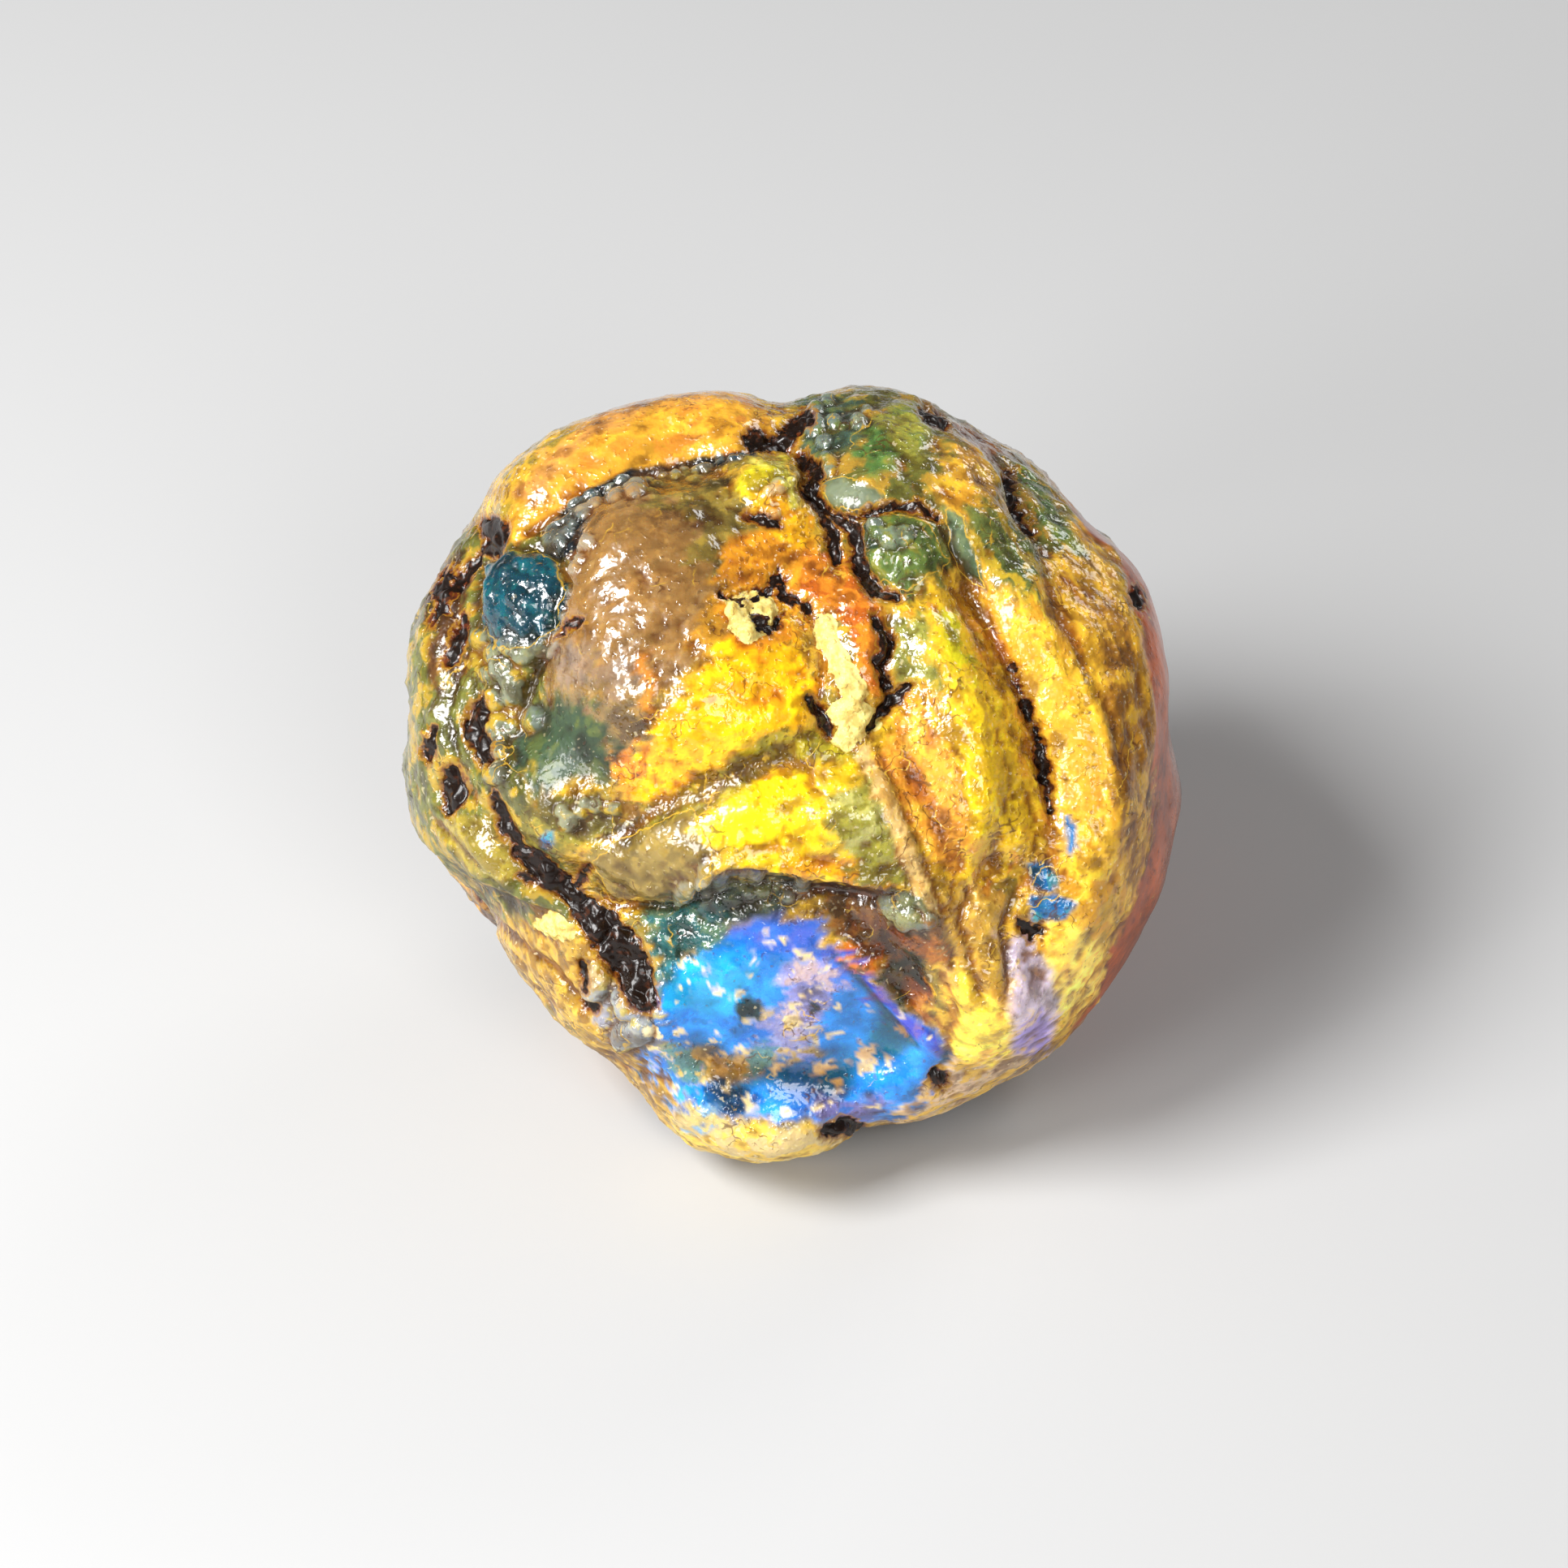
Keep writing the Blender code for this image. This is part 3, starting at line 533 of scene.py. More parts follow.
# Sharp creases between the folds: path in photograph pixels, half width and depth in millimetres
CREASES = {
    "rib_crevice": (
        [(1176, 722), (1205, 770), (1232, 824), (1252, 868), (1270, 920), (1284, 1020)],
        0.35, 0.55),
    "rib_upper": ([(1160, 640), (1172, 690), (1200, 740)], 0.35, 0.35),
    "outer_fold": ([(1268, 705), (1310, 790), (1352, 880), (1372, 960)], 0.45, 0.3),
    "outer_fold_low": ([(1290, 790), (1330, 900), (1345, 1010)], 0.4, 0.22),
    "strap_left": ([(1052, 934), (1080, 1000), (1110, 1072), (1136, 1150)], 0.3, 0.16),
    "strap_right": (
        [(1076, 924), (1102, 980), (1128, 1046), (1160, 1130), (1170, 1200)], 0.3, 0.14),
    "root_left": ([(1186, 1080), (1176, 1130), (1190, 1190), (1204, 1240)], 0.3, 0.35),
    "root_right": ([(1240, 1090), (1226, 1140), (1236, 1200), (1222, 1250)], 0.3, 0.35),
    "seam": (
        [(945, 545), (985, 566), (998, 616), (1046, 664), (1054, 706), (1096, 744)], 0.4, 0.55),
    "island_left": ([(1000, 770), (1012, 815), (1008, 870), (1022, 912), (1052, 930)], 0.3, 0.4),
    "island_right": ([(1090, 760), (1094, 800), (1084, 840), (1092, 870), (1066, 905)], 0.3, 0.4),
    "arch_edge": (
        [(640, 676), (700, 644), (760, 612), (830, 584), (900, 572), (946, 556)], 0.3, 0.45),
    "dome_left": (
        [(726, 664), (706, 706), (692, 760), (688, 800), (664, 850), (654, 900)], 0.35, 0.45),
    "teal_ring": (
        [(606, 790), (596, 745), (604, 700), (640, 678), (690, 684), (710, 730), (698, 784)],
        0.3, 0.5),
    "dome_slope": (
        [(640, 900), (660, 965), (700, 1010), (760, 1030), (850, 985), (950, 920), (1040, 900)],
        0.7, 0.14),
    "sausage_top": ([(535, 1000), (590, 1062), (640, 1110), (700, 1128)], 0.35, 0.45),
    "sausage_low": ([(520, 1040), (560, 1090), (620, 1140), (690, 1190), (740, 1260)], 0.35, 0.4),
    "left_run": (
        [(580, 690), (566, 760), (585, 800), (560, 880), (580, 940), (600, 1000)], 0.4, 0.28),
    "green_split": ([(1040, 650), (1100, 640), (1150, 650), (1180, 720)], 0.25, 0.35),
    "shoulder_fold": ([(1236, 590), (1246, 640), (1286, 700)], 0.45, 0.35),
    "patch_edge": ([(1150, 1180), (1168, 1240), (1160, 1300), (1120, 1350)], 0.35, 0.3),
}

# The lip that overhangs the broken face, in photograph pixels, left to right, with how far it
# rolls over and how far the face below it draws back, and the half widths of both, in millimetres
LIP = [
    (735, 1068), (770, 1098), (838, 1100), (862, 1084), (897, 1062),
    (960, 1063), (1000, 1074), (1046, 1079), (1082, 1087), (1118, 1096)]
LIP_ROLL, LIP_ROLL_WIDTH = 0.55, 0.7
LIP_UNDERCUT, LIP_UNDERCUT_WIDTH = 0.8, 0.6
LIP_DETAIL = 0.5

# The violet bar across the broken face: path in photograph pixels, half width and rise
VIOLET_BAR = [(1028, 1150), (1058, 1176), (1090, 1216), (1126, 1258), (1158, 1292)]
VIOLET_BAR_HALF_WIDTH = 0.55
VIOLET_BAR_RISE = 0.30

# The looks of the ground, the small blue flecks and the frost
GROUND = look((206, 162, 46), (140, 118, 40), 0.18, 0.18)
BLUE_FLECK = look((36, 114, 176), (60, 140, 160), 0.2, 0.3)
FROST = look((238, 212, 142), (150, 160, 210), 0.12, 0.50, (1.0, 0.02), 0.8)
FROST_COVER = 0.85

# The sides, the back and the underside: the ground's look there, and patches of other looks over
# it, each with its noise's wavelength and seed, the sharpness of its edge and how rare it is
SIDE_GROUND = look((150, 120, 44), (96, 84, 36), 0.30, 0.08, (1.4, 0.26), 0.5, 0.15)
SIDE_PATCHES = {
    "brown": (8.0, 31.0, 3.0, 0.1,
              look((104, 66, 28), (66, 42, 20), 0.15, 0.03, (1.2, 0.30), 0.5, 0.15)),
    "blue": (8.0, 47.0, 4.0, 1.2,
             look((18, 92, 140), (60, 110, 96), 0.35, 0.15, (1.1, 0.12), 0.5, 0.15)),
    "gold": (7.0, 61.0, 4.0, 1.0,
             look((226, 160, 40), (190, 116, 34), 0.10, 0.20, (0.9, 0.12), 0.5, 0.15)),
}

# The right flank's broken face: its outward direction, how far out it starts, and its look, a dark
# red-brown that is partly the amber's own colour and partly painted shade of the side turned away
# from the light
FLANK_DIRECTION = np.array([0.90, -0.12, -0.42])
FLANK_START = 18.5
FLANK_SOFTNESS = 2.2
FLANK = look((178, 82, 6), (120, 48, 6), 0.40, 0.50, (1.6, 0.02), 0.95, 0.2)

# Seams of the sides and the back, where nothing is shown: their spacing, depth and half width in
# millimetres
SEAM_SPACING = 12.0
SEAM_DEPTH = 0.45
SEAM_HALF_WIDTH = 0.6

# Zones of the broken face that pale frost grows over
FROSTED = ("window_veil", "window_gold_left", "window_gold_mid", "window_lilac_low")

# Zones that a gold thread runs round
OUTLINED = ("teal_bump", "green_cushion", "grey_plate", "right_plate", "lip_brown", "lime_knob")

# Narrow and broad hollows: their share, the passes of averaging that find them, and the depth in
# millimetres that counts in full. Then the painted shade and light: what a hollow keeps of the red,
# green and blue of its colour, how much of its painted glow it loses, and how much lighter a rise
# is.
HOLLOWS = ((0.6, 5, 0.045), (0.7, 30, 0.16))
HOLLOW_SHADE = np.array([0.50, 0.33, 0.20])
GLOW_LOST_IN_SHADE = 0.8
RISE_PAINTED_LIGHT = 0.22

# The way the amber's streaks run, as angles on the face in degrees
FLOW_MIDDLE = 24.0
FLOW_RIGHT = -66.0
FLOW_LEFT = -70.0
DOME_RUN = 50.0

# Two sizes of pebbles, as widths in millimetres, between which a zone's own width lies
SMALL_PEBBLES = 0.85
LARGE_PEBBLES = 1.5

# How far round to the front a dark mark or crust has to lie, from 0 to 1
SHOWN = 0.3

# Heights of the skin's fine relief, in millimetres
GRAIN_HEIGHT = 0.16
DOME_STREAK_HEIGHT = 0.08
DOME_PEBBLE_HEIGHT = 0.07
FLOW_HEIGHT, FOLD_HEIGHT = 0.06, 0.16
RIDGE_HEIGHT = 0.045
BARK_HEIGHT, BARK_SINK, BARK_RIM_SINK = 0.80, 0.36, 0.18
CRUST_HEIGHT, CRUST_UNEVEN = 0.22, 0.10
MARK_RAGGED = 0.22

# Beads: the seed of their places, the range of their sizes, how far they stand out of their
# radius, the height at which they look fully pearly, and how much of that look they take. The
# pearly grey is partly the beads' own milky colour and partly a painted highlight, lighter towards
# their tops.
BEAD_SEED = 7
BEAD_SIZES = (0.65, 1.15)
BEAD_OUT = 0.70
PEARL_HEIGHT = 0.25
PEARL_SHARE = 0.50
PEARL_AND_HIGHLIGHT = srgb(146, 156, 148)

# The amber's material: how it bends, absorbs, scatters and gives back light. The density is per
# metre, and the subsurface scale and the bump's height are in metres.
AMBER_SETTINGS = {
    "IOR": 1.54,
    "Specular IOR Level": 0.25,
    "Coat Roughness": 0.06,
    "Coat IOR": 1.5,
    "Subsurface Weight": 0.25,
    "Subsurface Radius": (1.0, 0.55, 0.16),
    "Subsurface Scale": 0.0014,
}
ABSORPTION = {"Color": (0.91, 0.66, 0.10, 1.0), "Density": 110.0}
BUMP = {"Strength": 0.9, "Distance": 0.00012}
# The painted glow: light of the amber's own colour that it gives off, standing in for light thrown
# back from inside
PAINTED_GLOW_STRENGTH = 0.30


def face_axes(vectors):
    """World vectors along the axes of the face frame."""
    return np.column_stack([vectors @ FACE_RIGHT, vectors @ FACE_UP, vectors @ FACE_OUT])


def world_coordinates(points):
    """Face-frame points, in millimetres, in the world, in metres."""
    places = np.outer(points[:, 0], FACE_RIGHT) + np.outer(points[:, 1], FACE_UP)
    return (places + np.outer(points[:, 2], FACE_OUT) + FACE_CENTRE) * MM


def face_coordinates(points):
    """World points, in metres, in the face frame, in millimetres."""
    return face_axes(points / MM - FACE_CENTRE)


def finely_divided_copy(node):
    """A copy of the CAD node's mesh with its triangles paired to quads and finely subdivided."""
    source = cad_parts[node]
    mesh = bmesh.new()
    mesh.from_mesh(source.data)
    mesh.transform(source.matrix_world)
    bmesh.ops.remove_doubles(mesh, verts=mesh.verts, dist=WELD_DISTANCE)
    bmesh.ops.join_triangles(
        mesh, faces=mesh.faces, angle_face_threshold=math.pi, angle_shape_threshold=math.pi)
    cage = bpy.data.meshes.new("amber_skin_cage")
    mesh.to_mesh(cage)
    mesh.free()
    skin = bpy.data.objects.new("amber_skin", cage)
    bpy.context.scene.collection.objects.link(skin)
    divide = skin.modifiers.new("divide", "SUBSURF")
    divide.levels = SUBDIVISIONS
    divide.render_levels = SUBDIVISIONS
    evaluated = skin.evaluated_get(bpy.context.evaluated_depsgraph_get())
    fine = bpy.data.meshes.new_from_object(evaluated)
    fine.name = "amber_skin"
    skin.modifiers.clear()
    skin.data = fine
    bpy.data.meshes.remove(cage)
    divide_details(fine)
    return skin


def detail_distance(points):
    """How far each point is from the marks, beads, crusts and lip, in millimetres."""
    flat = points[:, :2]
    best = np.full(len(points), FAR)
    paths = [(LIP, LIP_DETAIL)]
    for path, _, middle_width, _ in DARK_MARKS.values():
        paths.append((path, 1.2 * middle_width / PIXELS_PER_MM))
    for path, apart, radius, _ in BEAD_ROWS.values():
        paths.append((path, (apart + radius) / PIXELS_PER_MM))
    for path, half_width in paths:
        distance, _ = path_distance(flat, face_points(path))
        best = np.minimum(best, distance - half_width)
    for corners in [*CRUSTS.values(), ZONES["teal_bump"][0]]:
        best = np.minimum(best, -inside_depth(flat, face_points(corners)))
    return np.where(points[:, 2] > 0.0, best, FAR)


def divide_details(mesh):
    """Divide once more the faces nearest to the small details."""
    fine = bmesh.new()
    fine.from_mesh(mesh)
    fine.faces.ensure_lookup_table()
    middles = np.array([face.calc_center_median()[:] for face in fine.faces])
    nearest = np.argsort(detail_distance(face_coordinates(middles)), kind="stable")[:DETAIL_FACES]
    edges = {edge for i in nearest for edge in fine.faces[int(i)].edges}
    edges = sorted(edges, key=lambda edge: edge.index)
    bmesh.ops.subdivide_edges(fine, edges=edges, cuts=1, use_grid_fill=True)
    fine.to_mesh(mesh)
    fine.free()


def vertex_array(mesh):
    """The mesh's vertex places as an array."""
    places = np.empty(3 * len(mesh.vertices), dtype=np.float32)
    mesh.vertices.foreach_get("co", places)
    return places.reshape(-1, 3).astype(float)


def vertex_normals(mesh):
    """The mesh's vertex normals in the face frame."""
    return face_axes(np.array([normal.vector[:] for normal in mesh.vertex_normals]))


def averaged(mesh, values, passes):
    """Values of the vertices, averaged with their neighbours' this many times."""
    pairs = np.empty(2 * len(mesh.edges), dtype=np.int32)
    mesh.edges.foreach_get("vertices", pairs)
    first, second = pairs.reshape(-1, 2).T
    count = len(mesh.vertices)
    neighbours = np.bincount(first, minlength=count) + np.bincount(second, minlength=count)
    share = 1.0 / (1.0 + neighbours)
    for _ in range(passes):
        total = values.copy()
        for axis in range(values.shape[1]):
            total[:, axis] += np.bincount(first, values[second, axis], count)
            total[:, axis] += np.bincount(second, values[first, axis], count)
        values = total * share[:, None]
    return values


def hollows(mesh, points, normals, passes, depth):
    """How far each point lies in a hollow (up to 1) or on a rise (down to -1)."""
    sink = np.sum((averaged(mesh, points, passes) - points) * normals, axis=1)
    return np.clip(sink / depth, -1.0, 1.0)


def pebbles(points, width):
    """Rounded pebbles of about this width, as a height from 0 to 1."""
    nearest = np.array([noise.voronoi(Vector(point) / width)[0][0] for point in points])
    return smooth(1.0 - nearest / 0.62)


def flow_streaks(points, wavelength, stretch, seed):
    """Streaks along the amber's flow: up to the right in the middle, downwards at the sides."""
    middle, right, left = (
        streaks(points, angle, wavelength, stretch, seed + shift)
        for angle, shift in ((FLOW_MIDDLE, 0.0), (FLOW_RIGHT, 2.0), (FLOW_LEFT, 4.0)))
    to_right = smooth((points[:, 0] - 4.0) / 5.0)
    to_left = smooth((-points[:, 0] - 12.0) / 4.0)
    return middle * (1 - to_right) * (1 - to_left) + right * to_right + left * to_left


def zone_depth(flat, name):
    """How far inside a colour zone each point of the face lies, in millimetres."""
    return inside_depth(flat, face_points(ZONES[name][0]))


def mark_depths(points):
    """Distance inside the nearest dark mark of the shown face, in millimetres, negative outside."""
    ragged = wobble(points, 0.55, seed=3.0) + 0.6 * wobble(points, 0.26, seed=6.0)
    best = np.full(len(points), -NONE_NEAR)
    for path, end_width, middle_width, raggedness in DARK_MARKS.values():
        distance, along = path_distance(points[:, :2], face_points(path))
        half_width = end_width + (middle_width - end_width) * np.sin(math.pi * along)
        depth = half_width / PIXELS_PER_MM - distance + MARK_RAGGED * raggedness * ragged
        best = np.maximum(best, depth)
    return best


def crust_depths(points):
    """Distance inside the nearest crust, in millimetres, negative outside."""
    torn = 0.20 * wobble(points, 0.5, seed=53.0) + 0.16 * wobble(points, 0.22, seed=57.0)
    best = np.full(len(points), -NONE_NEAR)
    for corners in CRUSTS.values():
        best = np.maximum(best, inside_depth(points[:, :2], face_points(corners)) + torn)
    return best


def outline_depth(points):
    """Signed distance to the nearest edge of the zones that a gold thread runs round."""
    bend = 0.30 * side_by_side(fractal, points, 0.9, 2, seeds=(131.0, 137.0))
    best = np.full(len(points), NONE_NEAR)
    for name in OUTLINED:
        depth = zone_depth(points[:, :2] + bend, name)
        best = np.where(np.abs(depth) < np.abs(best), depth, best)
    return np.where(points[:, 2] > 0.0, best, NONE_NEAR)


def bead_rise(points):
    """Height of the rows of glossy beads."""
    rise = np.zeros(len(points))
    order = np.random.default_rng(BEAD_SEED)
    for path, apart, radius, count in BEAD_ROWS.values():
        corners = face_points(path)
        for spot in np.linspace(0, len(corners) - 1, count):
            i = min(int(spot), len(corners) - 2)
            middle = corners[i] + (corners[i + 1] - corners[i]) * (spot - i)
            middle = middle + order.uniform(-1, 1, 2) * apart / PIXELS_PER_MM
            reach = order.uniform(*BEAD_SIZES) * radius / PIXELS_PER_MM
            distance = np.linalg.norm(points[:, :2] - middle, axis=1)
            dome = np.sqrt(np.maximum(reach ** 2 - distance ** 2, 0.0))
            rise = np.maximum(rise, BEAD_OUT * dome)
    return rise


def path_ends(along, sharpness=8.0, start=0.2):
    """1 along a path, falling off at both of its ends."""
    return smooth(np.minimum(along, 1.0 - along) * sharpness + start)


def paint(points, front):
    """Colour, fleck colour and finish at each point: zones and patches over the ground."""
    layers = [np.tile(part, (len(points), 1)) for part in GROUND]
    color = layers[0]

    def blend(weight, new_look):
        for layer, part in zip(layers, new_look):
            layer[:] = layer * (1 - weight[:, None]) + part * weight[:, None]

    broad = wobble(points, 7.0, seed=11.0)
    medium = fractal(points, 2.6, 3, seed=5.0)
    flow = flow_streaks(points, 0.75, 4.0, seed=13.0)

    hidden = 1.0 - front
    ragged = 0.35 * flow + 0.3 * medium
    blend(hidden * smooth(2.2 * broad + 0.5), SIDE_GROUND)
    for wavelength, seed, sharpness, rarity, patch_look in SIDE_PATCHES.values():
        patches = smooth(sharpness * (wobble(points, wavelength, seed) + ragged) - rarity)
        blend(hidden * patches, patch_look)

    # The shown face's zones, with edges that bend gently and run out in tongues along the flow
    gentle = 0.40 * side_by_side(wobble, points, 2.2, seeds=(71.0, 83.0))
    gentle += 0.16 * side_by_side(fractal, points, 0.8, 2, seeds=(91.0, 97.0))
    angle = np.radians(np.where(points[:, 0] > 6.0, FLOW_RIGHT, FLOW_MIDDLE))
    tongues = np.column_stack([np.cos(angle), np.sin(angle)]) * (1.5 * flow)[:, None]
    flat = points[:, :2] + gentle
    for name, (_, softness, zone_look) in ZONES.items():
        reach = min(softness, 1.0)
        depth = zone_depth(points[:, :2] + gentle * (0.5 + reach) + tongues * reach, name)
        blend(smooth(0.5 + depth / (0.6 * softness + 0.15)) * front, zone_look)
    for corners in BLUE_FLECKS.values():
        blend(smooth(0.5 + inside_depth(flat, face_points(corners)) / 0.3) * front, BLUE_FLECK)

    # Cloudy depths and pale frost in the blue face
    blue = smooth(zone_depth(flat, "window") / 0.8 + 0.3) * front
    depths = np.clip(0.9 * fractal(points, 2.6, 3, seed=151.0), -0.35, 0.25)
    color *= (1.0 + blue * depths)[:, None]
    near = np.full(len(points), -NONE_NEAR)
    for name in FROSTED:
        near = np.maximum(near, zone_depth(flat, name))
    near = smooth(0.5 + near / 2.0)
    frost = fractal(points, 1.3, 4, seed=157.0) + 0.5 * flow - 0.46 + 0.30 * near
    blend(FROST_COVER * (smooth(11.0 * frost) * blue), FROST)

    # The right flank: darker red-brown, partly the amber's own colour and partly painted shade of
    # the side turned away from the light
    outward = points @ (FLANK_DIRECTION / np.linalg.norm(FLANK_DIRECTION))
    flank = smooth((outward - FLANK_START + 0.8 * medium) / FLANK_SOFTNESS)
    blend(flank, FLANK)
    flank_streaks = smooth(2.0 * streaks(points, FLOW_RIGHT, 2.4, 3.0, seed=223.0) + 0.4)
    color *= (1.0 - 0.45 * flank * flank_streaks)[:, None]
    shade = 1.0 + 0.18 * broad + 0.30 * medium + 0.35 * flow
    color *= np.clip(shade, 0.35, 1.5)[:, None]
    return layers


def add_pebbles_and_grain(rise, points, finish, front):
    """Pebbles of each zone's own size and height, and grain, streaks and ridges over them."""
    height = finish[:, PEBBLE_HEIGHT]
    bumpy = smooth(height * 12)
    large_share = smooth((finish[:, PEBBLE_WIDTH] - SMALL_PEBBLES) / 0.65)
    small = pebbles(points, SMALL_PEBBLES)
    large = pebbles(points + 4.0, LARGE_PEBBLES)
    rise += height * (small * (1 - large_share) + large * large_share)
    wet = smooth(zone_depth(points[:, :2], "brown_dome")) * front
    rise += GRAIN_HEIGHT * bumpy * (1.0 - 0.55 * wet) * fractal(points, 2.2, 3, seed=17.0)
    dome_streaks = smooth(1.8 * streaks(points, DOME_RUN, 1.1, 1.5, seed=43.0) + 0.5)
    rise += wet * (DOME_STREAK_HEIGHT * dome_streaks + DOME_PEBBLE_HEIGHT * pebbles(points, 1.2))
    folds = smooth((points[:, 0] - 5.0) / 4.0) * smooth((points[:, 1] + 20.0) / 6.0) * front
    flow = flow_streaks(points, 1.7, 3.5, seed=23.0)
    rise += (FLOW_HEIGHT + FOLD_HEIGHT * folds) * bumpy * flow
    ridges = 1.0 - np.abs(fractal(points, 1.7, 2, seed=29.0)) * 4.0
    rise += RIDGE_HEIGHT * smooth(ridges) * bumpy


def add_creases(rise, flat, front):
    """Sharp creases between the folds, and the violet bar across the broken face."""
    for path, half_width, depth in CREASES.values():
        distance, along = path_distance(flat, face_points(path))
        rise -= front * depth * path_ends(along) * np.exp(-(distance / half_width) ** 2)
    distance, along = path_distance(flat, face_points(VIOLET_BAR))
    bar = np.exp(-(distance / VIOLET_BAR_HALF_WIDTH) ** 4)
    rise += front * VIOLET_BAR_RISE * path_ends(along, 6.0) * bar


def add_bark(rise, points, finish, front):
    """Bark and dark seams. Gives the depth inside them, in millimetres, negative outside."""
    seam_gap = np.abs(wobble(points, SEAM_SPACING, 201.0)) * 0.7 * SEAM_SPACING
    dark = np.where(front > SHOWN, mark_depths(points), -NONE_NEAR)
    seams = 0.05 - seam_gap + 0.9 * wobble(points, 5.0, seed=211.0)
    seams = seams + 0.2 * wobble(points, 0.7, seed=217.0) - 3.0 * front
    broken = smooth((finish[:, CALM] - 0.7) * 6.0)
    dark = np.maximum(dark, seams - 3.0 * broken)
    shallow = 0.35 + 0.65 * smooth(1.5 * wobble(points, 7.0, seed=227.0) + 0.5)
    groove = np.exp(-(seam_gap / SEAM_HALF_WIDTH) ** 2)
    rise -= (1.0 - front) * (1.0 - broken) * SEAM_DEPTH * shallow * groove
    lumps = np.abs(wobble(points, 1.5, seed=37.0)) + 0.20 * np.abs(wobble(points, 0.7, seed=41.0))
    inside = smooth(0.5 + dark / 0.35)
    rise += inside * (BARK_HEIGHT * lumps - BARK_SINK) - BARK_RIM_SINK * np.exp(-(dark / 0.3) ** 2)
    return dark


def lip_move(flat, front):
    """How far the lip rolls out and down over the broken face, as two columns: up and out."""
    lip = face_points(LIP)
    distance, along = path_distance(flat, lip)
    ends = path_ends(along, start=0.0) * front
    above = flat[:, 1] > np.interp(flat[:, 0], lip[:, 0], lip[:, 1])
    roll = LIP_ROLL * np.exp(-(distance / LIP_ROLL_WIDTH) ** 2) * ends
    undercut = LIP_UNDERCUT * np.exp(-((distance - 0.5) / LIP_UNDERCUT_WIDTH) ** 2) * ends
    return np.column_stack([np.where(above, -0.5 * roll, 0.0), np.where(above, roll, -undercut)])


def sculpt(skin):
    """Give the skin its fine relief and store the painted values on its vertices."""
    mesh = skin.data
    points = face_coordinates(vertex_array(mesh))
    flat = points[:, :2]
    front = smooth((points[:, 2] + 2.0) / 4.0)
    color, fleck, finish = paint(points, front)

    rise = np.zeros(len(points))
    add_pebbles_and_grain(rise, points, finish, front)
    add_creases(rise, flat, front)
    dark = add_bark(rise, points, finish, front)
    crust = np.where(front > SHOWN, crust_depths(points), -NONE_NEAR)
    rise += smooth(crust / 0.25) * (CRUST_HEIGHT + CRUST_UNEVEN * wobble(points, 0.6, seed=59.0))
    beads = front * bead_rise(points)
    rise += beads
    # The beads' own milky tint and a painted highlight: they turn pearly grey towards their tops
    pearl_and_highlight = PEARL_SHARE * smooth(beads / PEARL_HEIGHT)[:, None]
    color = color * (1 - pearl_and_highlight) + PEARL_AND_HIGHLIGHT * pearl_and_highlight
    move = vertex_normals(mesh) * rise[:, None]
    move[:, 1:] += lip_move(flat, front)

    # What the material's threads and clouds follow
    wide_thread = fractal(points, 2.4, 3, seed=101.0)
    narrow_thread = fractal(points, 1.1, 2, seed=107.0)
    patchy = fractal(points, 3.0, 2, seed=113.0) - 0.55 * finish[:, CALM]
    cloud = fractal(points, 1.8, 3, seed=119.0) + 0.6 * flow_streaks(points, 0.6, 3.5, seed=127.0)
    cloud = cloud * (0.3 + (1.0 - finish[:, CALM]))
    outline = outline_depth(points)

    # The resting patch and what lies just above it keep the CAD's shape
    world_height = points @ np.array([0.0, FACE_UP[2], FACE_OUT[2]]) + FACE_CENTRE[2]
    points = points + move * smooth((world_height - 0.05) / 0.8)[:, None]
    places = world_coordinates(points)
    places[:, 2] = np.maximum(places[:, 2], 0.0)
    mesh.vertices.foreach_set("co", places.astype(np.float32).ravel())
    mesh.update()
    mesh.shade_smooth()

    # Painted shade darkens the hollows and dims their glow, and painted light makes rises lighter
    normals = vertex_normals(mesh)
    relief = sum(
        share * hollows(mesh, points, normals, passes, depth) for share, passes, depth in HOLLOWS)
    low, high = smooth(relief)[:, None], smooth(-relief)[:, None]
    for layer in (color, fleck):
        layer *= 1.0 - low * (1.0 - HOLLOW_SHADE)
        layer *= 1.0 + RISE_PAINTED_LIGHT * high
    finish[:, PAINTED_GLOW] *= 1.0 - GLOW_LOST_IN_SHADE * low[:, 0]

    upward = normals[:, 1] * FACE_UP[2] + normals[:, 2] * FACE_OUT[2]
    gloss = 0.35 + 0.65 * smooth((upward + 0.55) / 0.75)
    gloss *= 1.0 - 0.8 * finish[:, DULL]
    store_color(mesh, "tint", color, gloss)
    store_color(mesh, "fleck", fleck, 1.0 - 0.75 * smooth(finish[:, CALM]))
    store_vector(mesh, "marks", dark, crust, cloud)
    store_vector(mesh, "threads", wide_thread, narrow_thread, patchy)
    store_vector(mesh, "finish", finish[:, CLEAR], finish[:, PAINTED_GLOW], outline)


def store_color(mesh, name, values, alpha):
    """Store a linear colour and an alpha on each vertex."""
    layer = mesh.attributes.new(name, "FLOAT_COLOR", "POINT")
    stored = np.column_stack([np.clip(values, 0.0, 1.0), alpha])
    layer.data.foreach_set("color", stored.astype(np.float32).ravel())


def store_vector(mesh, name, *columns):
    """Store three numbers on each vertex."""
    layer = mesh.attributes.new(name, "FLOAT_VECTOR", "POINT")
    layer.data.foreach_set("vector", np.column_stack(columns).astype(np.float32).ravel())


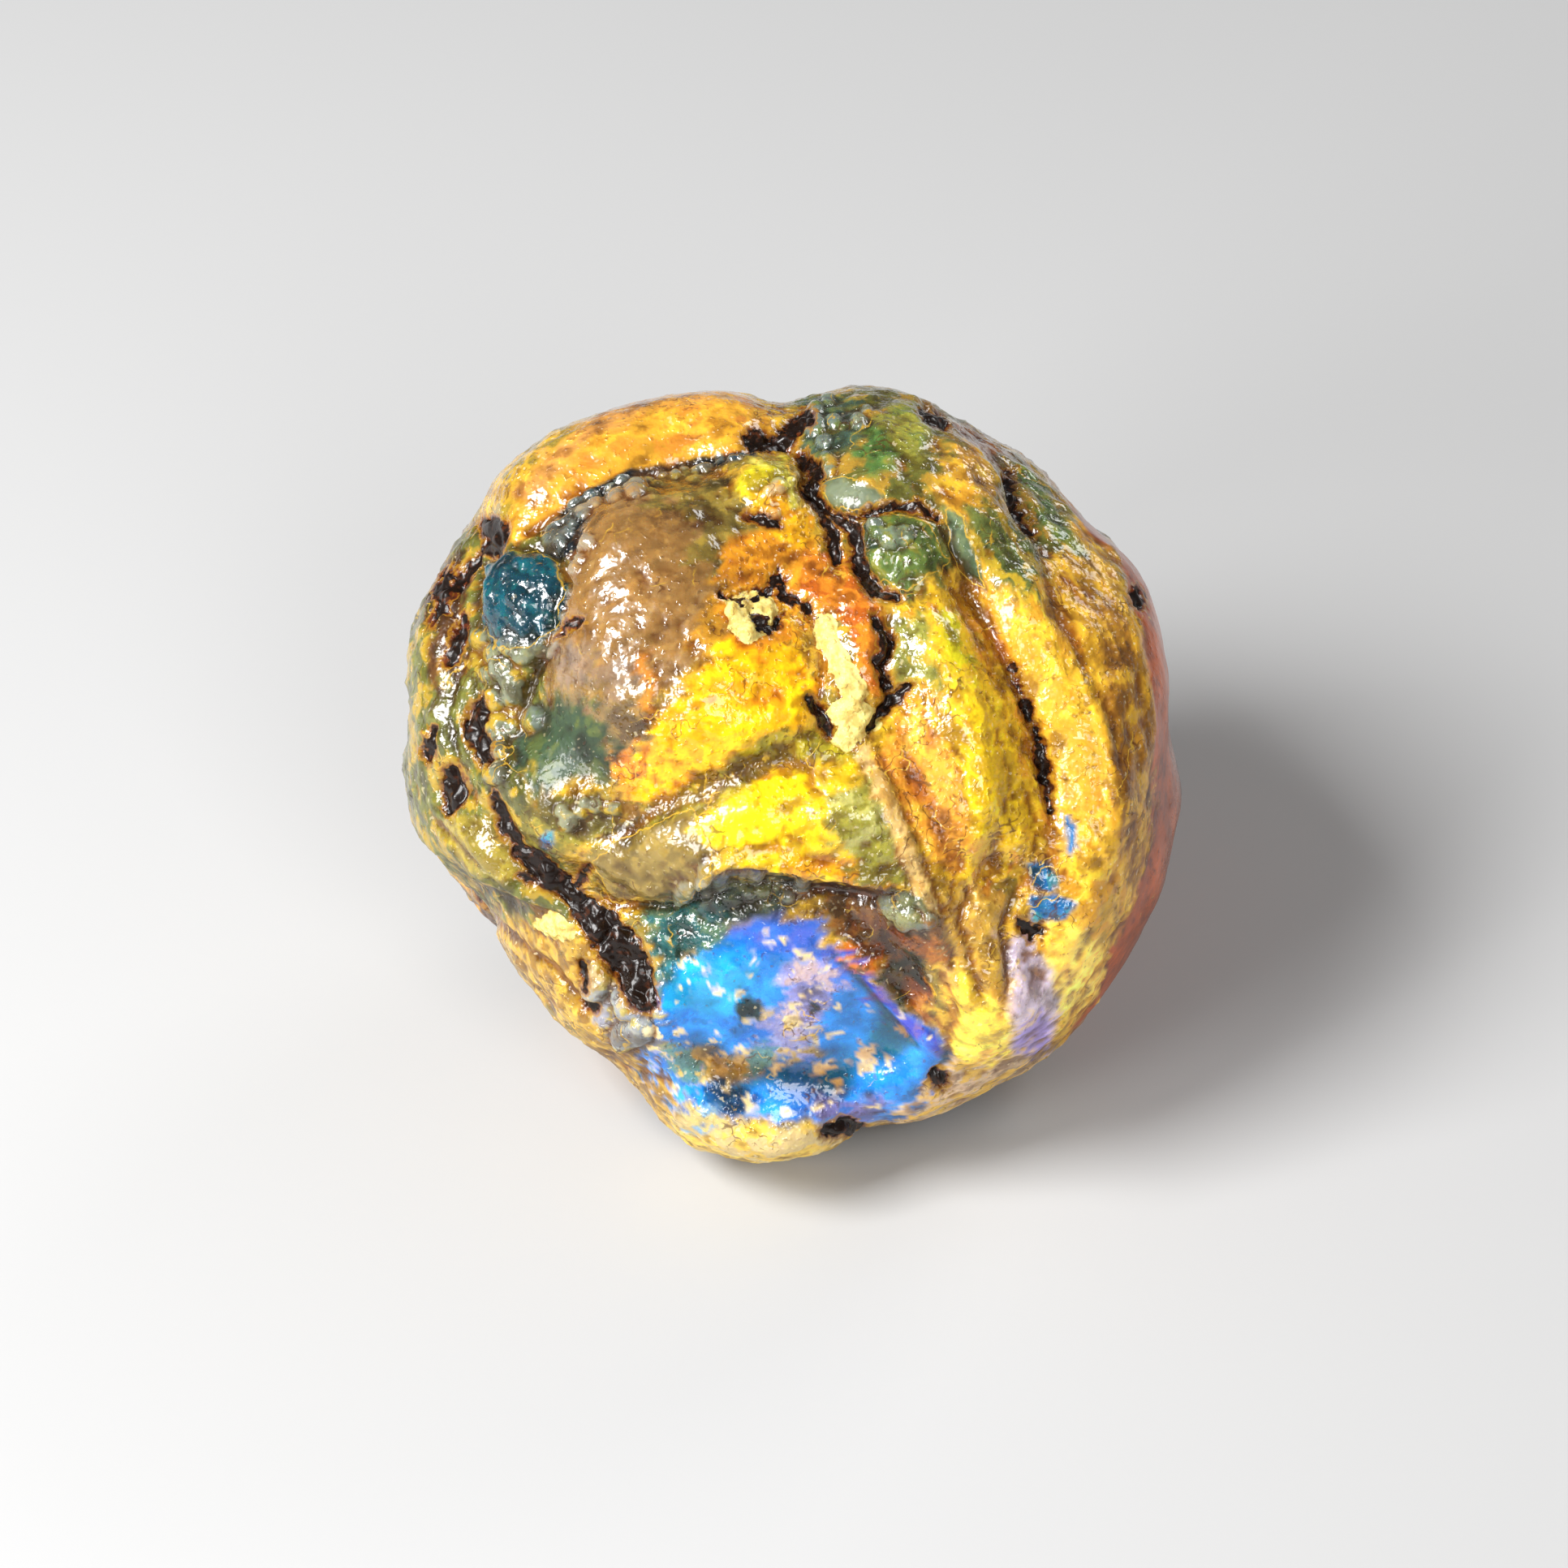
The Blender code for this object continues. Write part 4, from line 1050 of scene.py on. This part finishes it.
class Nodes:
    """Short names for building a material's nodes."""

    def __init__(self, name):
        self.material = bpy.data.materials.new(name)
        self.material.use_nodes = True
        self.tree = self.material.node_tree
        self.shader = self.tree.nodes["Principled BSDF"]
        self.output = self.tree.nodes["Material Output"]

    def add(self, kind, **settings):
        node = self.tree.nodes.new(kind)
        for key, value in settings.items():
            setattr(node, key, value)
        return node

    def put(self, socket, value):
        """Link an output to a socket, or set the socket's own value."""
        if isinstance(value, bpy.types.NodeSocket):
            self.tree.links.new(value, socket)
        else:
            socket.default_value = value

    def fill(self, node, values):
        """Link or set several of a node's sockets."""
        for name, value in values.items():
            self.put(node.inputs[name], value)

    def color_and_alpha(self, name):
        """The colour and the alpha stored on the vertices under this name."""
        node = self.add("ShaderNodeAttribute", attribute_name=name)
        return node.outputs["Color"], node.outputs["Alpha"]

    def three(self, name):
        """The three numbers stored on the vertices under this name."""
        stored = self.add("ShaderNodeAttribute", attribute_name=name)
        node = self.add("ShaderNodeSeparateXYZ")
        self.put(node.inputs[0], stored.outputs["Vector"])
        return node.outputs[0], node.outputs[1], node.outputs[2]

    def math(self, operation, *values, clamp=False):
        node = self.add("ShaderNodeMath", operation=operation, use_clamp=clamp)
        for socket, value in zip(node.inputs, values):
            self.put(socket, value)
        return node.outputs[0]

    def times(self, first, second, clamp=False):
        return self.math("MULTIPLY", first, second, clamp=clamp)

    def times_plus(self, value, factor, offset):
        """The value times the factor, plus the offset."""
        return self.math("MULTIPLY_ADD", value, factor, offset)

    def most(self, first, second):
        return self.math("MAXIMUM", first, second)

    def without(self, value, clamp=False):
        """What the value leaves of 1."""
        return self.math("SUBTRACT", 1.0, value, clamp=clamp)

    def step(self, value, low, high):
        """Smooth step from 0 at low to 1 at high."""
        node = self.add("ShaderNodeMapRange", interpolation_type="SMOOTHSTEP")
        self.fill(node, {"Value": value, "From Min": low, "From Max": high})
        return node.outputs[0]

    def noise(self, vector, scale, detail, roughness):
        node = self.add("ShaderNodeTexNoise")
        settings = {"Vector": vector, "Scale": scale, "Detail": detail, "Roughness": roughness}
        self.fill(node, settings)
        return node.outputs["Fac"]

    def mix(self, share, first, second, blend="MIX"):
        """Mix of two colours."""
        node = self.add("ShaderNodeMix", data_type="RGBA", blend_type=blend)
        self.fill(node, {0: share, 6: first, 7: second})
        return node.outputs[2]


def rgba(red, green, blue):
    """A node's colour from the sRGB scale, 0 to 255."""
    return (*srgb(red, green, blue), 1.0)


def amber_material():
    """Wet amber: painted colours broken up by fibres, threads and specks, bark, crust and gloss."""
    nodes = Nodes("wet_amber")
    shader = nodes.shader
    to_mm = nodes.add("ShaderNodeVectorMath", operation="SCALE")
    place = nodes.add("ShaderNodeTexCoord").outputs["Object"]
    nodes.fill(to_mm, {0: place, "Scale": 1.0 / MM})
    place = to_mm.outputs[0]

    tint, gloss = nodes.color_and_alpha("tint")
    fleck, grain_share = nodes.color_and_alpha("fleck")
    dark_depth, crust_depth, cloud = nodes.three("marks")
    wide_thread, narrow_thread, patchy = nodes.three("threads")
    clear, painted_glow, outline = nodes.three("finish")
    fine = nodes.noise(place, 1.5, 3.0, 0.56)
    jitter = nodes.math("SUBTRACT", fine, 0.5)

    # Flecks and small cloudy shading inside the amber
    mottled = nodes.times_plus(jitter, 1.1, cloud)
    color = nodes.mix(nodes.step(mottled, 0.02, 0.42), tint, fleck)
    dim = nodes.mix(nodes.step(mottled, -0.05, -0.65), WHITE, (0.42, 0.34, 0.28, 1.0))
    color = nodes.mix(0.8, color, dim, "MULTIPLY")
    light = nodes.times(nodes.step(jitter, 0.03, 0.16), 0.30)
    color = nodes.mix(light, color, (1.0, 0.86, 0.42, 1.0), "SOFT_LIGHT")

    # Fine brown veins and golden threads, in places, and a gold thread round some zones
    shown = nodes.step(nodes.math("ADD", patchy, jitter), -0.10, 0.25)
    wide, narrow, rim = (
        nodes.math("ABSOLUTE", nodes.times_plus(jitter, amount, middle))
        for amount, middle in ((0.30, wide_thread), (0.30, narrow_thread), (0.5, outline)))
    veins = nodes.times(nodes.step(narrow, 0.070, 0.015), nodes.step(shown, 0.2, 0.9))
    color = nodes.mix(nodes.times(veins, 0.7), color, rgba(92, 50, 14))
    thread = nodes.times(nodes.step(wide, 0.045, 0.012), shown)
    thread = nodes.most(thread, nodes.step(rim, 0.07, 0.02))
    color = nodes.mix(nodes.times(thread, 0.75), color, rgba(236, 190, 60))

    # Small brown specks, and pale dots that are partly dust and partly painted glints
    grain = nodes.noise(place, 2.3, 1.0, 0.5)
    speck = nodes.times(nodes.step(grain, 0.69, 0.73), 0.45)
    color = nodes.mix(speck, color, rgba(84, 44, 14))
    dust_and_glints = nodes.times(nodes.step(grain, 0.31, 0.27), nodes.times_plus(grain_share, 0.65, -0.15))
    color = nodes.mix(dust_and_glints, color, rgba(255, 238, 190))

    # Bark and dark seams, with a gold fringe and a red-brown stain round them
    depth = nodes.times_plus(jitter, 0.9, dark_depth)
    stain = nodes.step(depth, -0.50, 0.0)
    bark = nodes.step(depth, -0.06, 0.06)
    fringe = nodes.times(nodes.step(depth, -0.34, -0.22), nodes.step(depth, -0.06, -0.18))
    color = nodes.mix(nodes.times(fringe, 0.6), color, rgba(222, 170, 40))
    stained = nodes.mix(nodes.times(stain, 0.75), color, rgba(104, 38, 8))
    bark_color = nodes.mix(nodes.step(jitter, 0.05, 0.20), rgba(24, 12, 6), rgba(70, 34, 14))
    color = nodes.mix(bark, stained, bark_color)

    # Cream crust
    crust = nodes.step(nodes.times_plus(jitter, 0.5, crust_depth), -0.16, -0.08)
    crust = nodes.times(crust, nodes.without(bark))
    cream = nodes.mix(nodes.step(jitter, 0.08, -0.10), rgba(236, 218, 132), rgba(206, 176, 92))
    color = nodes.mix(crust, color, cream)

    # Finish: wet and glossy, dry on the crust, clear only where the amber is
    solid = nodes.most(nodes.times(stain, 0.8), crust)
    open_share = nodes.without(solid, clamp=True)
    rough = nodes.most(nodes.times_plus(fine, 0.25, 0.14), nodes.times_plus(gloss, -0.5, 0.65))
    rough = nodes.most(rough, nodes.times(crust, 0.75))
    dry = nodes.most(nodes.times(crust, 0.9), nodes.times(bark, 0.80))

    # The finest relief: grain and small round pebbles too small for the mesh
    dots = nodes.times_plus(nodes.step(grain, 0.60, 0.70), 0.45, grain)
    off_bark = nodes.times_plus(nodes.step(dark_depth, -0.06, 0.06), -0.8, 1.0)
    height = nodes.times(dots, nodes.times(grain_share, off_bark))
    bump = nodes.add("ShaderNodeBump")
    nodes.fill(bump, {**BUMP, "Height": height})

    nodes.fill(shader, {
        **AMBER_SETTINGS,
        "Base Color": color,
        "Roughness": rough,
        "Transmission Weight": nodes.times(clear, open_share, clamp=True),
        "Coat Weight": nodes.times(nodes.without(dry), gloss),
        # Painted glow: the clear amber gives off light of its own colour, standing in for light
        # thrown back from inside
        "Emission Color": color,
        "Emission Strength": nodes.times(nodes.times(painted_glow, open_share), PAINTED_GLOW_STRENGTH),
        "Normal": bump.outputs[0],
        "Coat Normal": bump.outputs[0],
    })
    nodes.material.cycles.emission_sampling = "NONE"
    absorb = nodes.add("ShaderNodeVolumeAbsorption")
    nodes.fill(absorb, ABSORPTION)
    nodes.put(nodes.output.inputs["Volume"], absorb.outputs[0])
    return nodes.material


def make_nodule():
    """The visible nodule in place of the CAD node."""
    skin = finely_divided_copy("amber_nodule")
    sculpt(skin)
    skin.data.materials.clear()
    skin.data.materials.append(amber_material())
    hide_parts("amber_nodule")
    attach(skin, "root")


def make_floor():
    """A plain pale floor."""
    bpy.ops.mesh.primitive_plane_add(size=FLOOR_SIZE)
    floor = bpy.context.active_object
    floor.name = "floor"
    nodes = Nodes("pale_floor")
    nodes.fill(nodes.shader, {"Base Color": FLOOR_COLOR, "Roughness": FLOOR_ROUGHNESS})
    floor.data.materials.append(nodes.material)


def make_light(name, direction, distance, size, power):
    """A square soft light that looks at the nodule from this direction of the world."""
    data = bpy.data.lights.new(name, "AREA")
    data.energy = power
    data.size = size
    light = bpy.data.objects.new(name, data)
    bpy.context.scene.collection.objects.link(light)
    out = Vector(direction).normalized()
    light.location = Vector(FACE_CENTRE * MM) + out * distance
    light.rotation_euler = out.to_track_quat("Z", "Y").to_euler()


def make_lights():
    """The studio's lights, and an even white world behind them."""
    for name, settings in LIGHTS.items():
        make_light(name, *settings)
    world = bpy.data.worlds.new("studio")
    bpy.context.scene.world = world
    world.use_nodes = True
    background = world.node_tree.nodes["Background"]
    background.inputs["Color"].default_value = WHITE
    background.inputs["Strength"].default_value = WORLD_STRENGTH


def make_camera():
    """The photograph's view: along the face's normal, with the image's middle at the frame's."""
    data = bpy.data.cameras.new("camera")
    data.lens = LENS_MM
    data.sensor_width = SENSOR_MM
    data.clip_start = CLIP_START
    camera = bpy.data.objects.new("camera", data)
    bpy.context.scene.collection.objects.link(camera)
    middle = face_points([(IMAGE_SIZE / 2, IMAGE_SIZE / 2)])[0]
    distance = IMAGE_SIZE / PIXELS_PER_MM * LENS_MM / SENSOR_MM
    place = world_coordinates(np.array([[middle[0], middle[1], distance]]))[0]
    axes = Matrix((FACE_RIGHT, FACE_UP, FACE_OUT)).transposed().to_4x4()
    axes.translation = Vector(place)
    camera.matrix_world = axes
    bpy.context.scene.camera = camera


make_camera()
make_floor()
make_lights()
make_nodule()
bpy.context.scene.view_settings.view_transform = "Standard"
